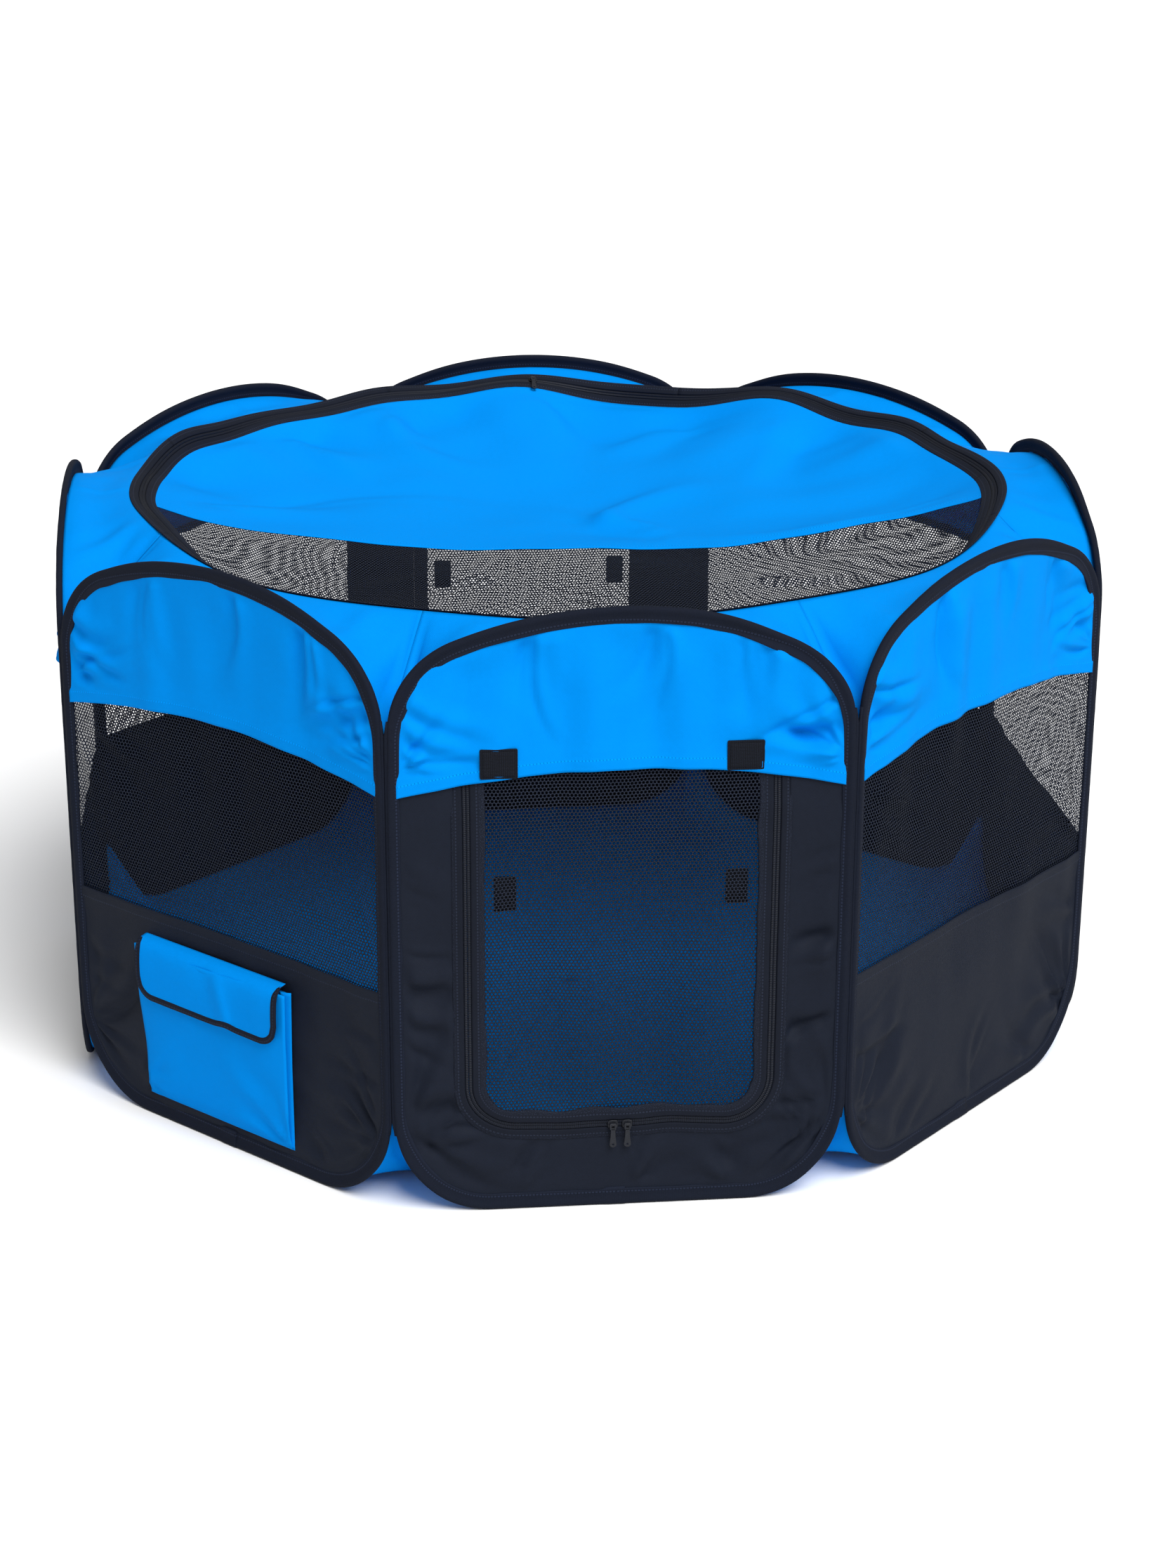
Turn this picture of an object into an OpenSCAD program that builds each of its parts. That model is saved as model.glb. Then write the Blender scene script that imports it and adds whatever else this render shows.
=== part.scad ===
// Folding eight-sided pet playpen: spring-steel hoops in sewn sleeves carry the walls,
// a zip-off roof, a sewn floor, two zipped doors and an outside pocket.
// The origin is the middle of the floor, on the ground. The front door faces -Y.
// A wall panel is drawn with x along the wall, y pointing into the pen and z up.

/* [Pen] */
// Distance across the octagon from corner to corner, on the middle plane of the walls
pen_across = 1144; // [1100:4:1300]
// Height of a wall panel at the middle of its arch
panel_h = 607; // [560:1:660]
// Radius of the flat crown of an arch
crown_r = 450; // [420:5:500]
// Radius of the shoulders of an arch
shoulder_r = 95; // [85:1:105]
// Radius of the two bottom corners of a panel
foot_r = 95; // [80:1:105]

/* [Hoops and sleeves] */
// Diameter of the spring-steel hoop wire
wire_d = 4; // [3:0.5:4.5]
// Thickness of a sewn sleeve, through the wall
sleeve_t = 7; // [6:0.5:8]
// Width of a sleeve along the arch and the foot
sleeve_w = 16; // [14:1:20]
// Width of a sleeve up the sides
sleeve_side_w = 11; // [10:1:14]
// Space left between the end of a panel and the corner line
corner_gap = 1.8; // [1.7:0.1:3]

/* [Wall cloth] */
// Thickness of the woven cloth
cloth_t = 1.2; // [0.8:0.1:1.6]
// Thickness of the netting
net_t = 1; // [0.6:0.1:1.4]
// Height of the lower edge of the coloured band, at the middle of a panel
band_z = 450; // [420:1:470]
// How much lower that edge is at the sides of a panel
band_fall = 24; // [0:1:40]
// Height of the top edge of the dark lower band
skirt_z = 230; // [180:1:260]

/* [Doors] */
// Half of the distance between the two upright stretches of a door zip
zip_half = 145; // [130:1:150]
// Height of the bottom stretch of a door zip
zip_z = 87; // [70:1:110]
// Radius of the two bottom corners of a door zip
zip_r = 45; // [35:1:60]
// Width of one zip tape, from the middle of the zip
tape_w = 13; // [10:1:16]

/* [Roof] */
// Height of the roof zip
roof_z = 588; // [570:1:592]
// Radius of the roof zip, on the middle of its teeth
roof_zip_r = 451; // [430:1:460]
// How far the middle of the roof cover hangs below its edge
roof_sag = 58; // [20:1:80]
// Distance from the middle of the pen to the seam between cloth and netting
roof_seam_y = -60; // [-120:5:0]

/* [Pocket] */
// Width of the outside pocket
pocket_w = 214; // [180:1:240]
// Height of the pocket
pocket_h = 176; // [150:1:190]
// How far the pocket stands out from the wall
pocket_d = 26; // [15:1:35]
// Width of the pocket flap
flap_w = 198; // [160:1:220]
// Height of the front of the pocket flap
flap_h = 56; // [40:1:80]

/* [Hidden] */
$fn = 64;
sides = 8;
turn = 360 / sides;
side_names = ["front", "front_right", "right", "back_right", "back", "back_left", "left", "front_left"];
wall_sides = [1, 2, 3, 5, 6, 7];
pocket_side = 7;
door_sides = [0, 4];

blue = [0.0, 0.55, 0.95];
black = [0.13, 0.14, 0.18];
netting = [0.25, 0.27, 0.32];
steel = [0.6, 0.62, 0.65];

// Frame of the octagon
apothem = pen_across / 2 * cos(turn / 2);
half_w = pen_across / 2 * sin(turn / 2) - corner_gap;
face_gap = 0.4;
inner_apothem = apothem - sleeve_t / 2 - face_gap;
wire_inset = 4.5;
arc_steps = 8;
crown_steps = 12;

// Zip chain: two halves of teeth with the slider's wedge between them
chain_gap = 1.2;
tooth_w = 3;
tooth_t = 3;
door_gap = 0.5;

// Zip slider and pull
slider_l = 9;
slider_h = 8;
slider_plate_t = 1.4;
slider_clear = 0.35;
wedge_l = 3;
wedge_t = 0.6;
bar_d = 1.6;
bar_post = 1.6;
bar_span = 6;
plate_y = tooth_t / 2 + slider_clear + slider_plate_t / 2;
plate_face = plate_y + slider_plate_t / 2;
bar_y = plate_face + 2.5;
pull_w = 7;
pull_t = 1.4;
pull_l = 24;
pull_top = 1.9;
eye_d = 4.4;
eye_bore = 2.2;
eye_l = 3.6;
slider_x = 7;

// Hook-and-loop pads
pad_t = 2;
band_pad = [35, 29];
band_pad_x = 114.5;
band_pad_z = 459.5;
door_pad = [21, 35];
door_pad_x = 109;
door_pad_z = 328;

// Pocket
pocket_x = -15;
pocket_z = 24;
pocket_wall = 1.2;
flap_t = 1.5;
flap_clear = 0.6;
flap_root = 0.35;
flap_corner_r = 14;

// Roof collar: columns over half a panel, dense towards the shoulder
collar_steps = 8;
collar_inset = 10;
collar_r = roof_zip_r + tape_w + 0.6;

// Floor
floor_t = 1.5;
gusset_inset = 6;
gusset_steps = 9;
gusset_gap = 0.1;

// Points of an arc, from one angle to another
function arc(x, z, r, from, to, steps) =
    [for (i = [0:steps]) let (q = from + (to - from) * i / steps) [x + r * cos(q), z + r * sin(q)]];

// Height of the centre of a shoulder arc that meets the side and the crown smoothly
function shoulder_z(half, top, crown, shoulder) =
    top - crown + sqrt(pow(crown - shoulder, 2) - pow(half - shoulder, 2));

// Outline of a panel, brought in by side_in at the sides and edge_in at the top and bottom
function outline(side_in, edge_in) =
    let (
        corner_in = (side_in + edge_in) / 2,
        half = half_w - side_in,
        top = panel_h - edge_in,
        crown = crown_r - edge_in,
        shoulder = shoulder_r - corner_in,
        foot = foot_r - corner_in,
        sx = half - shoulder,
        sz = shoulder_z(half, top, crown, shoulder),
        tilt = atan2(sz - top + crown, sx),
        crown_arc = arc(0, top - crown, crown, tilt, 180 - tilt, crown_steps)
    )
    concat(
        arc(half - foot, edge_in + foot, foot, -90, 0, arc_steps),
        arc(sx, sz, shoulder, 0, tilt, arc_steps),
        [for (i = [1:crown_steps - 1]) crown_arc[i]],
        arc(-sx, sz, shoulder, 180 - tilt, 180, arc_steps),
        arc(foot - half, edge_in + foot, foot, 180, 270, arc_steps)
    );

// Height of the coloured band's lower edge
function band_edge(x) = band_z - band_fall * pow(x / half_w, 2);

// Area between a height and the band's lower edge, less a gap
function below_band(bottom, gap) =
    concat(
        [[half_w, bottom], [-half_w, bottom]],
        [for (i = [-crown_steps:crown_steps]) let (x = half_w * i / crown_steps) [x, band_edge(x) - gap]]
    );

// Area above the band's lower edge
function above_band() =
    concat(
        [[half_w, panel_h], [-half_w, panel_h]],
        [for (i = [-crown_steps:crown_steps]) let (x = half_w * i / crown_steps) [x, band_edge(x)]]
    );

// U shape that follows the door zip, wider by grow, open at the top
function door_shape(grow) =
    let (half = zip_half + grow, bottom = zip_z - grow, r = zip_r + grow)
    concat(
        [[-half, panel_h]],
        arc(r - half, bottom + r, r, 180, 270, arc_steps),
        arc(half - r, bottom + r, r, -90, 0, arc_steps),
        [[half, panel_h]]
    );

// Places something drawn in a panel's own frame on side k of the pen
module on_side(k) {
    rotate([0, 0, turn * k])
        translate([0, -apothem, 0])
            children();
}

// Upright sheet of the given outline, centred on the wall's middle plane
module sheet(points, t) {
    rotate([90, 0, 0])
        linear_extrude(t, center = true)
            polygon(points);
}

// Sheet of netting or cloth inside the sleeve, kept to one area of the panel
module panel_cloth(area, t) {
    intersection() {
        sheet(outline(sleeve_side_w, sleeve_w), t);
        sheet(area, t + 2);
    }
}

// Bent stretch of the hoop wire
module wire_bend(x, z, r, from, to) {
    translate([x, z, 0])
        rotate([0, 0, from])
            rotate_extrude(angle = to - from)
                translate([r, 0])
                    circle(d = wire_d);
}

// Closed hoop of wire, in the panel's plane
module wire_hoop() {
    half = half_w - wire_inset;
    top = panel_h - wire_inset;
    crown = crown_r - wire_inset;
    shoulder = shoulder_r - wire_inset;
    foot = foot_r - wire_inset;
    sx = half - shoulder;
    sz = shoulder_z(half, top, crown, shoulder);
    tilt = atan2(sz - top + crown, sx);
    rotate([90, 0, 0]) {
        wire_bend(0, top - crown, crown, tilt, 180 - tilt);
        for (s = [-1, 1]) {
            translate([s * half, foot_r, 0])
                rotate([-90, 0, 0])
                    cylinder(h = sz - foot_r, d = wire_d);
        }
        wire_bend(sx, sz, shoulder, 0, tilt);
        wire_bend(-sx, sz, shoulder, 180 - tilt, 180);
        wire_bend(half - foot, foot_r, foot, -90, 0);
        wire_bend(foot - half, foot_r, foot, 180, 270);
        translate([foot - half, wire_inset, 0])
            rotate([0, 90, 0])
                cylinder(h = 2 * (half - foot), d = wire_d);
    }
}

// Spring-steel hoop of one panel
module hoop(k) {
    color(steel)
        on_side(k)
            wire_hoop();
}

// Sewn sleeve round one hoop
module sleeve(k) {
    color(black)
        on_side(k)
            difference() {
                sheet(outline(0, 0), sleeve_t);
                sheet(outline(sleeve_side_w, sleeve_w), sleeve_t + 2);
                wire_hoop();
            }
}

// Coloured cloth band under the arch
module upper_band(k) {
    color(blue)
        on_side(k)
            panel_cloth(above_band(), cloth_t);
}

// Netting window of a plain panel
module window(k) {
    color(netting)
        on_side(k)
            panel_cloth(below_band(skirt_z, 0), net_t);
}

// Dark cloth band at the foot of a plain panel
module lower_band(k) {
    color(black)
        on_side(k)
            panel_cloth([[-half_w, 0], [half_w, 0], [half_w, skirt_z], [-half_w, skirt_z]], cloth_t);
}

// Dark cloth round a doorway, with the fixed half of the door zip
module door_surround(k) {
    color(black)
        on_side(k)
            difference() {
                union() {
                    panel_cloth(below_band(0, 0), cloth_t);
                    intersection() {
                        sheet(door_shape(chain_gap / 2 + tooth_w), tooth_t);
                        sheet(below_band(0, 0), tooth_t + 2);
                    }
                }
                sheet(door_shape(chain_gap / 2), tooth_t + 2);
            }
}

// Edge binding of a door flap, with the moving half of the door zip
module door_tape(k) {
    color(black)
        on_side(k)
            intersection() {
                difference() {
                    union() {
                        sheet(door_shape(-chain_gap / 2), cloth_t);
                        difference() {
                            sheet(door_shape(-chain_gap / 2), tooth_t);
                            sheet(door_shape(-chain_gap / 2 - tooth_w), tooth_t + 2);
                        }
                    }
                    sheet(door_shape(-tape_w), tooth_t + 2);
                }
                sheet(below_band(0, door_gap), tooth_t + 2);
            }
}

// Netting of a door flap
module door_mesh(k) {
    color(netting)
        on_side(k)
            intersection() {
                sheet(door_shape(-tape_w), net_t);
                sheet(below_band(0, door_gap), net_t + 2);
            }
}

// Pair of pads on the inside of a door flap, which hold it when it is rolled up
module door_pads(k) {
    color(black)
        on_side(k)
            for (s = [-1, 1])
                translate([s * door_pad_x, net_t / 2 + pad_t / 2, door_pad_z])
                    cube([door_pad[0], pad_t, door_pad[1]], center = true);
}

// Pair of pads on the coloured band above the front door
module band_pads() {
    color(black)
        on_side(0)
            for (s = [-1, 1])
                translate([s * band_pad_x, -cloth_t / 2 - pad_t / 2, band_pad_z])
                    cube([band_pad[0], pad_t, band_pad[1]], center = true);
}

// Zip slider: two plates joined by a wedge, with a bar on the outside
module slider_body() {
    for (s = [-1, 1])
        translate([0, s * plate_y, 0])
            cube([slider_l, slider_plate_t, slider_h], center = true);
    cube([wedge_l, 2 * plate_y, wedge_t], center = true);
    for (s = [-1, 1])
        translate([s * bar_span / 2, -(plate_y + bar_y) / 2, 0])
            cube([bar_post, bar_y - plate_y, bar_post], center = true);
    translate([-bar_span / 2 - bar_post / 2, -bar_y, 0])
        rotate([0, 90, 0])
            cylinder(h = bar_span + bar_post, d = bar_d);
}

// Pull tab that hangs from the slider's bar
module pull_body(bore) {
    difference() {
        union() {
            translate([-eye_l / 2, -bar_y, 0])
                rotate([0, 90, 0])
                    cylinder(h = eye_l, d = eye_d);
            translate([-pull_w / 2, -bar_y - pull_t / 2, pull_w / 2 - pull_l])
                cube([pull_w, pull_t, pull_l - pull_w / 2 - pull_top]);
            translate([0, -bar_y - pull_t / 2, pull_w / 2 - pull_l])
                rotate([-90, 0, 0])
                    cylinder(h = pull_t, d = pull_w);
        }
        translate([-eye_l, -bar_y, 0])
            rotate([0, 90, 0])
                cylinder(h = 2 * eye_l, d = bore);
        translate([0, -bar_y - pull_t, pull_w / 2 - pull_l])
            rotate([-90, 0, 0])
                cylinder(h = 2 * pull_t, d = pull_w / 2);
    }
}

// Slider of a door zip, left (-1) or right (1) of the middle
module slider(k, side) {
    color(black)
        on_side(k)
            translate([side * slider_x, 0, zip_z])
                slider_body();
}

// Pull tab of a front door slider
module pull(k, side) {
    color(black)
        on_side(k)
            translate([side * slider_x, 0, zip_z])
                pull_body(eye_bore);
}

// Slider of the back door zip, with its pull tab held against it
module slider_with_pull(k, side) {
    color(black)
        on_side(k)
            translate([side * slider_x, 0, zip_z]) {
                slider_body();
                pull_body(bar_d);
            }
}

// Height of the collar's outer edge at a distance along a panel
function collar_edge_z(x) =
    let (
        half = half_w - collar_inset,
        top = panel_h - collar_inset,
        crown = crown_r - collar_inset,
        shoulder = shoulder_r - collar_inset,
        sx = half - shoulder,
        sz = shoulder_z(half, top, crown, shoulder),
        crown_z = top - crown + sqrt(pow(crown, 2) - pow(min(abs(x), half), 2)),
        bend_z = sz + sqrt(max(0, pow(shoulder, 2) - pow(min(abs(x), half) - sx, 2))),
        meet = crown * sx / (crown - shoulder)
    )
    abs(x) <= meet ? crown_z : bend_z;

// Columns of the collar, as [angle round the pen, height of the outer edge]
collar_columns = [
    for (k = [0:sides - 1])
        for (i = [-collar_steps:collar_steps + 1])
            let (x = i > collar_steps
                ? inner_apothem * tan(turn / 2)
                : (half_w - collar_inset) * sin(90 * i / collar_steps))
            [turn * k - 90 + atan(x / inner_apothem), collar_edge_z(x)]
];

// Distance from the pen's middle to the wall's inner face, at an angle round the pen
function wall_r(q) =
    let (k = round((q + 90) / turn))
    inner_apothem / cos(q + 90 - turn * k);

// Sloping cloth ring between the arches and the roof zip
module roof_collar() {
    count = len(collar_columns);
    rows = concat(
        [for (c = collar_columns) [collar_r * cos(c[0]), collar_r * sin(c[0]), roof_z + cloth_t / 2]],
        [for (c = collar_columns) [wall_r(c[0]) * cos(c[0]), wall_r(c[0]) * sin(c[0]), c[1] + cloth_t / 2]],
        [for (c = collar_columns) [wall_r(c[0]) * cos(c[0]), wall_r(c[0]) * sin(c[0]), c[1] - cloth_t / 2]],
        [for (c = collar_columns) [collar_r * cos(c[0]), collar_r * sin(c[0]), roof_z - cloth_t / 2]]
    );
    faces = [
        for (row = [0:3])
            for (i = [0:count - 1])
                let (j = (i + 1) % count, a = row * count, b = (row + 1) % 4 * count)
                each row == 2
                    ? [[a + i, b + i, a + j], [b + i, b + j, a + j]]
                    : [[a + i, b + i, b + j], [a + i, b + j, a + j]]
    ];
    color(blue)
        polyhedron(points = rows, faces = [for (f = faces) [f[2], f[1], f[0]]], convexity = 10);
}

// Flat ring round the roof zip
module ring(r_in, r_out, t) {
    translate([0, 0, roof_z - t / 2])
        difference() {
            cylinder(h = t, r = r_out);
            translate([0, 0, -1])
                cylinder(h = t + 2, r = r_in);
        }
}

// Half of the roof zip that stays on the collar
module roof_tape_outer() {
    color(black) {
        ring(roof_zip_r + chain_gap / 2, roof_zip_r + tape_w, cloth_t);
        ring(roof_zip_r + chain_gap / 2, roof_zip_r + chain_gap / 2 + tooth_w, tooth_t);
    }
}

// Half of the roof zip that comes off with the cover
module roof_tape_inner() {
    color(black) {
        ring(roof_zip_r - tape_w, roof_zip_r - chain_gap / 2, cloth_t);
        ring(roof_zip_r - chain_gap / 2 - tooth_w, roof_zip_r - chain_gap / 2, tooth_t);
    }
}

// Round roof cover that hangs a little towards its middle
module roof_dish(t) {
    r = roof_zip_r - tape_w;
    steps = 7;
    top = [for (i = [0:steps]) [r * i / steps, roof_z - roof_sag * (1 - pow(i / steps, 2)) + t / 2]];
    bottom = [for (i = [0:steps]) [r * i / steps, roof_z - roof_sag * (1 - pow(i / steps, 2)) - t / 2]];
    rotate_extrude()
        polygon(concat(bottom, [for (i = [0:steps]) top[steps - i]]));
}

// Part of the roof cover to one side of the seam
module roof_part(t, y_low, y_high) {
    intersection() {
        roof_dish(t);
        translate([-pen_across, y_low, 0])
            cube([2 * pen_across, y_high - y_low, 2 * roof_z]);
    }
}

// Cloth part of the roof cover
module roof_cloth() {
    color(blue)
        roof_part(cloth_t, roof_seam_y, pen_across);
}

// Netting part of the roof cover
module roof_mesh() {
    color(netting)
        roof_part(cloth_t, -pen_across, roof_seam_y);
}

// Slider of the roof zip, with its pull tab
module roof_slider() {
    color(black)
        translate([0, roof_zip_r, roof_z])
            rotate([-90, 0, 0]) {
                slider_body();
                pull_body(bar_d);
            }
}

// Point on the wall's inner face, x along side k
function on_wall(k, x) =
    let (q = turn * k)
    [x * cos(q) + inner_apothem * sin(q), x * sin(q) - inner_apothem * cos(q)];

// Curved gusset that closes the corner between two bottom curves
module floor_gusset(k) {
    r = foot_r - gusset_inset;
    start_r = inner_apothem / cos(turn / 2) - sin(turn / 2) * (corner_gap + gusset_inset);
    lower = [
        for (i = [0:gusset_steps])
            let (q = 90 * i / gusset_steps)
            [start_r - sin(turn / 2) * r * (1 - sin(q)), r * (1 - cos(q))]
    ];
    upper = [
        for (i = [0:gusset_steps])
            let (q = 90 * i / gusset_steps)
            lower[i] + floor_t * [-sin(q), cos(q)]
    ];
    intersection() {
        rotate([0, 0, turn * (k + 0.5) - 90])
            translate([gusset_gap, 0, 0])
                rotate([90, 0, 0])
                    linear_extrude(pen_across / 2, center = true)
                        polygon(concat(lower, [for (i = [0:gusset_steps]) upper[gusset_steps - i]]));
        linear_extrude(panel_h)
            polygon([for (n = [0:sides - 1]) on_wall(n, inner_apothem * tan(turn / 2))]);
    }
}

// Sewn floor with its eight corner gussets
module floor_cloth() {
    flat = half_w - foot_r;
    color(blue) {
        linear_extrude(floor_t)
            polygon([for (k = [0:sides - 1]) for (s = [-1, 1]) on_wall(k, s * flat)]);
        for (k = [0:sides - 1])
            floor_gusset(k);
    }
}

// Open-topped pocket on the outside of the front left panel
module pocket_body() {
    color(blue)
        on_side(pocket_side)
            translate([pocket_x - pocket_w / 2, -cloth_t / 2 - pocket_d, pocket_z])
                difference() {
                    cube([pocket_w, pocket_d, pocket_h]);
                    translate([pocket_wall, pocket_wall, pocket_wall])
                        cube([pocket_w - 2 * pocket_wall, pocket_d - 2 * pocket_wall, pocket_h]);
                }
}

// Flap that closes the pocket
module pocket_flap() {
    r = flap_corner_r;
    half = flap_w / 2;
    front = concat(
        [[half, flap_t], [-half, flap_t]],
        arc(r - half, r - flap_h, r, 180, 270, arc_steps),
        arc(half - r, r - flap_h, r, -90, 0, arc_steps)
    );
    color(blue)
        on_side(pocket_side)
            translate([pocket_x, -cloth_t / 2, pocket_z + pocket_h + flap_clear]) {
                translate([0, -pocket_d - flap_clear - flap_t / 2, 0])
                    sheet(front, flap_t);
                translate([-half, -pocket_d - flap_clear - flap_t, 0])
                    cube([flap_w, pocket_d + flap_clear + flap_t - flap_root, flap_t]);
            }
}

for (k = [0:sides - 1]) {
    hoop(k);
    sleeve(k);
    upper_band(k);
}
for (k = wall_sides) {
    window(k);
    lower_band(k);
}
for (k = door_sides) {
    door_surround(k);
    door_mesh(k);
    door_tape(k);
    door_pads(k);
}
band_pads();  // band_pads_front
slider(0, -1);  // slider_front_left
slider(0, 1);  // slider_front_right
pull(0, -1);  // pull_front_left
pull(0, 1);  // pull_front_right
slider_with_pull(4, -1);  // slider_back_left
slider_with_pull(4, 1);  // slider_back_right
roof_collar();
roof_tape_outer();
roof_tape_inner();
roof_cloth();
roof_mesh();
roof_slider();
floor_cloth();  // floor
pocket_body();
pocket_flap();
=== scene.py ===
"""Looks of a folding eight-sided pet playpen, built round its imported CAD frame."""

import math

import bpy
import numpy as np
from mathutils import Matrix, Vector


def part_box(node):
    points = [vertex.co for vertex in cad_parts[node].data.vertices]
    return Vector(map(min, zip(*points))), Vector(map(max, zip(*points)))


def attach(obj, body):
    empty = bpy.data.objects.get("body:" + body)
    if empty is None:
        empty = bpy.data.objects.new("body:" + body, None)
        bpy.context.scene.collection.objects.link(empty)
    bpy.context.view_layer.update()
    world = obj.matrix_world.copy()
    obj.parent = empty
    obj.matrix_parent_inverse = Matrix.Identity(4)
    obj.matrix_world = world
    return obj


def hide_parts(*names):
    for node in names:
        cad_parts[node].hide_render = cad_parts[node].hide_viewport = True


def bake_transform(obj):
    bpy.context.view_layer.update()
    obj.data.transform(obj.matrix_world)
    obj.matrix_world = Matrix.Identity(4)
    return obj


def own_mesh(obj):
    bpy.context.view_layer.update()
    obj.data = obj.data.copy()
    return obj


bl_info = {
    "name": "Pet playpen",
    "version": (1, 0, 0),
    "blender": (4, 5, 0),
    "location": "View3D > Sidebar > Playpen",
    "description": "Builds the cloth, netting, zips, pocket and roof of a folding pet playpen",
    "category": "Object",
}

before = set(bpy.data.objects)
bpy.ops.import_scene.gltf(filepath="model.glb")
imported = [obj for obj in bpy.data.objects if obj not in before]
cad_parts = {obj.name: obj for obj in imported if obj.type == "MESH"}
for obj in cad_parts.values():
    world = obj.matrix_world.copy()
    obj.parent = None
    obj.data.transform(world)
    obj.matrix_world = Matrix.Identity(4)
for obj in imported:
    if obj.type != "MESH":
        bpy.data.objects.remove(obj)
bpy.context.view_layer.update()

# ---------------------------------------------------------------- sizes, in metres

SIDES = ("front", "front_right", "right", "back_right", "back", "back_left", "left", "front_left")
DOOR_SIDES = (0, 4)
PLAIN_SIDES = (1, 2, 3, 5, 6, 7)
POCKET_SIDE = 7
TURN = math.radians(45)
MM = 0.001

# Walls. A sleeve's box in the frame gives the panel's width, height and distance from the middle.
SLEEVE_LOW, SLEEVE_HIGH = (np.array(v, float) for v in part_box("sleeve_front"))
APOTHEM = -(SLEEVE_LOW[1] + SLEEVE_HIGH[1]) / 2
HALF = SLEEVE_HIGH[0]
TOP = SLEEVE_HIGH[2]
CORNER = APOTHEM * math.tan(TURN / 2)
CROWN_R = 0.450
SHOULDER_R = 0.095
FOOT_R = 0.095
SLEEVE_W = 0.016
SLEEVE_SIDE_W = 0.011
WIRE_IN = 0.0042
WIRE_R = 0.0016

# Wall cloth. SEAM is how far it runs in under a sleeve, UNDERLAP how far netting runs behind cloth.
SEAM = 0.0025
BAND_Z = 0.450
BAND_FALL = 0.024
SKIRT_Z = 0.230
UNDERLAP = 0.010
WALL_FOLD_RISE = 0.014

# Stitches, and how far in from the edge of a hem they are sewn.
STITCH_PITCH = 0.0032
STITCH_W = 0.0012
STITCH_IN = 0.0012

# Zips, door and roof. ZIP_TOP is how far a door zip runs up behind the band's edge.
ZIP_HALF = 0.145
ZIP_Z = 0.087
ZIP_R = 0.045
TAPE_W = 0.013
SLIDER_X = 0.007
BAR_Y = 0.00575
ZIP_TOP = 0.003
TAPE_T = 0.0003
DOOR_STEP = 0.0055

# Hook pads: where they are on the wall and how large.
PAD_CORNER = 0.0016
BAND_PAD_X, BAND_PAD_Z, BAND_PAD_W, BAND_PAD_H = 0.1145, 0.4595, 0.035, 0.029
FLAP_PAD_X, FLAP_PAD_Z, FLAP_PAD_W, FLAP_PAD_H = 0.109, 0.328, 0.021, 0.035

# Roof. COVER_R is where the cloth of the cover meets its zip tape.
ROOF_Z = 0.588
ROOF_R = 0.451
COVER_R = 0.4375
COVER_DRAWN = 0.4
COVER_LEFT = math.pi + 0.1032
COVER_RIGHT = -0.1841

# Floor. Its edge is FLOOR_IN from the walls' plane and rises up to FLOOR_END from a panel's ends.
FLOOR_IN = 0.0042
FLOOR_END = 0.004

# Pocket. POCKET_OFF is how far its back and its seams stand off the wall.
POCKET_X = -0.015
POCKET_Z = 0.024
POCKET_W = 0.214
POCKET_H = 0.176
POCKET_OFF = 0.0012
FLAP_HALF = 0.098
FLAP_TOP_Z = 0.2030
FLAP_CORNER = 0.022


# ---------------------------------------------------------------- numbers for folds and curves

def metres(pairs):
    """Pairs of millimetres as pairs of metres."""
    return [(a * MM, b * MM) for a, b in pairs]


def plain(values):
    """A point or a direction as a tuple of plain numbers."""
    return tuple(float(v) for v in values)


def side_by_side(a, b):
    """Two arrays, spread to the same shape, as the two coordinates of each point."""
    return np.stack(np.broadcast_arrays(a, b), -1)


def run_of(line):
    """Length along a line at each of its points."""
    return np.concatenate([[0], np.cumsum(np.linalg.norm(np.diff(line, axis=0), axis=1))])


def smooth(x):
    """Eases from 0 to 1 as x goes from 0 to 1."""
    x = np.clip(x, 0, 1)
    return x * x * (3 - 2 * x)


def drift(x, y, seed):
    """Smooth wandering values from -1 to 1, about one swing per unit of x or y."""
    table = np.random.RandomState(seed).uniform(-1, 1, (64, 64))
    x, y = np.broadcast_arrays(np.asarray(x, float), np.asarray(y, float))
    left, low = np.floor(x).astype(int), np.floor(y).astype(int)
    across, up = smooth(x - left), smooth(y - low)

    def at(i, j):
        return table[i % 64, j % 64]

    bottom = at(left, low) * (1 - across) + at(left + 1, low) * across
    top = at(left, low + 1) * (1 - across) + at(left + 1, low + 1) * across
    return bottom * (1 - up) + top * up


def shoulder_centre(side_in, edge_in):
    """Where a shoulder arc's centre is, and its radius, on an outline brought in by those widths."""
    radius = SHOULDER_R - (side_in + edge_in) / 2
    half, top, crown = HALF - side_in, TOP - edge_in, CROWN_R - edge_in
    x = half - radius
    return x, top - crown + math.sqrt((crown - radius) ** 2 - x**2), radius


def arch_z(x, side_in=0.0, edge_in=0.0):
    """Height of an arch at distance x along the panel."""
    sx, sz, radius = shoulder_centre(side_in, edge_in)
    crown, top, half = CROWN_R - edge_in, TOP - edge_in, HALF - side_in
    meet = crown * sx / (crown - radius)
    x = np.minimum(np.abs(x), half)
    over = top - crown + np.sqrt(crown**2 - x**2)
    bend = sz + np.sqrt(np.maximum(radius**2 - (x - sx) ** 2, 0))
    return np.where(x <= meet, over, bend)


def foot_z(x, side_in=0.0, edge_in=0.0):
    """Height of a panel's bottom edge at distance x along it."""
    radius = FOOT_R - (side_in + edge_in) / 2
    half = HALF - side_in
    x = np.minimum(np.abs(x), half)
    past = np.maximum(x - (half - radius), 0)
    return edge_in + radius - np.sqrt(np.maximum(radius**2 - past**2, 0))


def band_edge(x):
    """Height of the coloured band's lower edge."""
    return BAND_Z - BAND_FALL * (np.asarray(x) / HALF) ** 2


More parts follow.
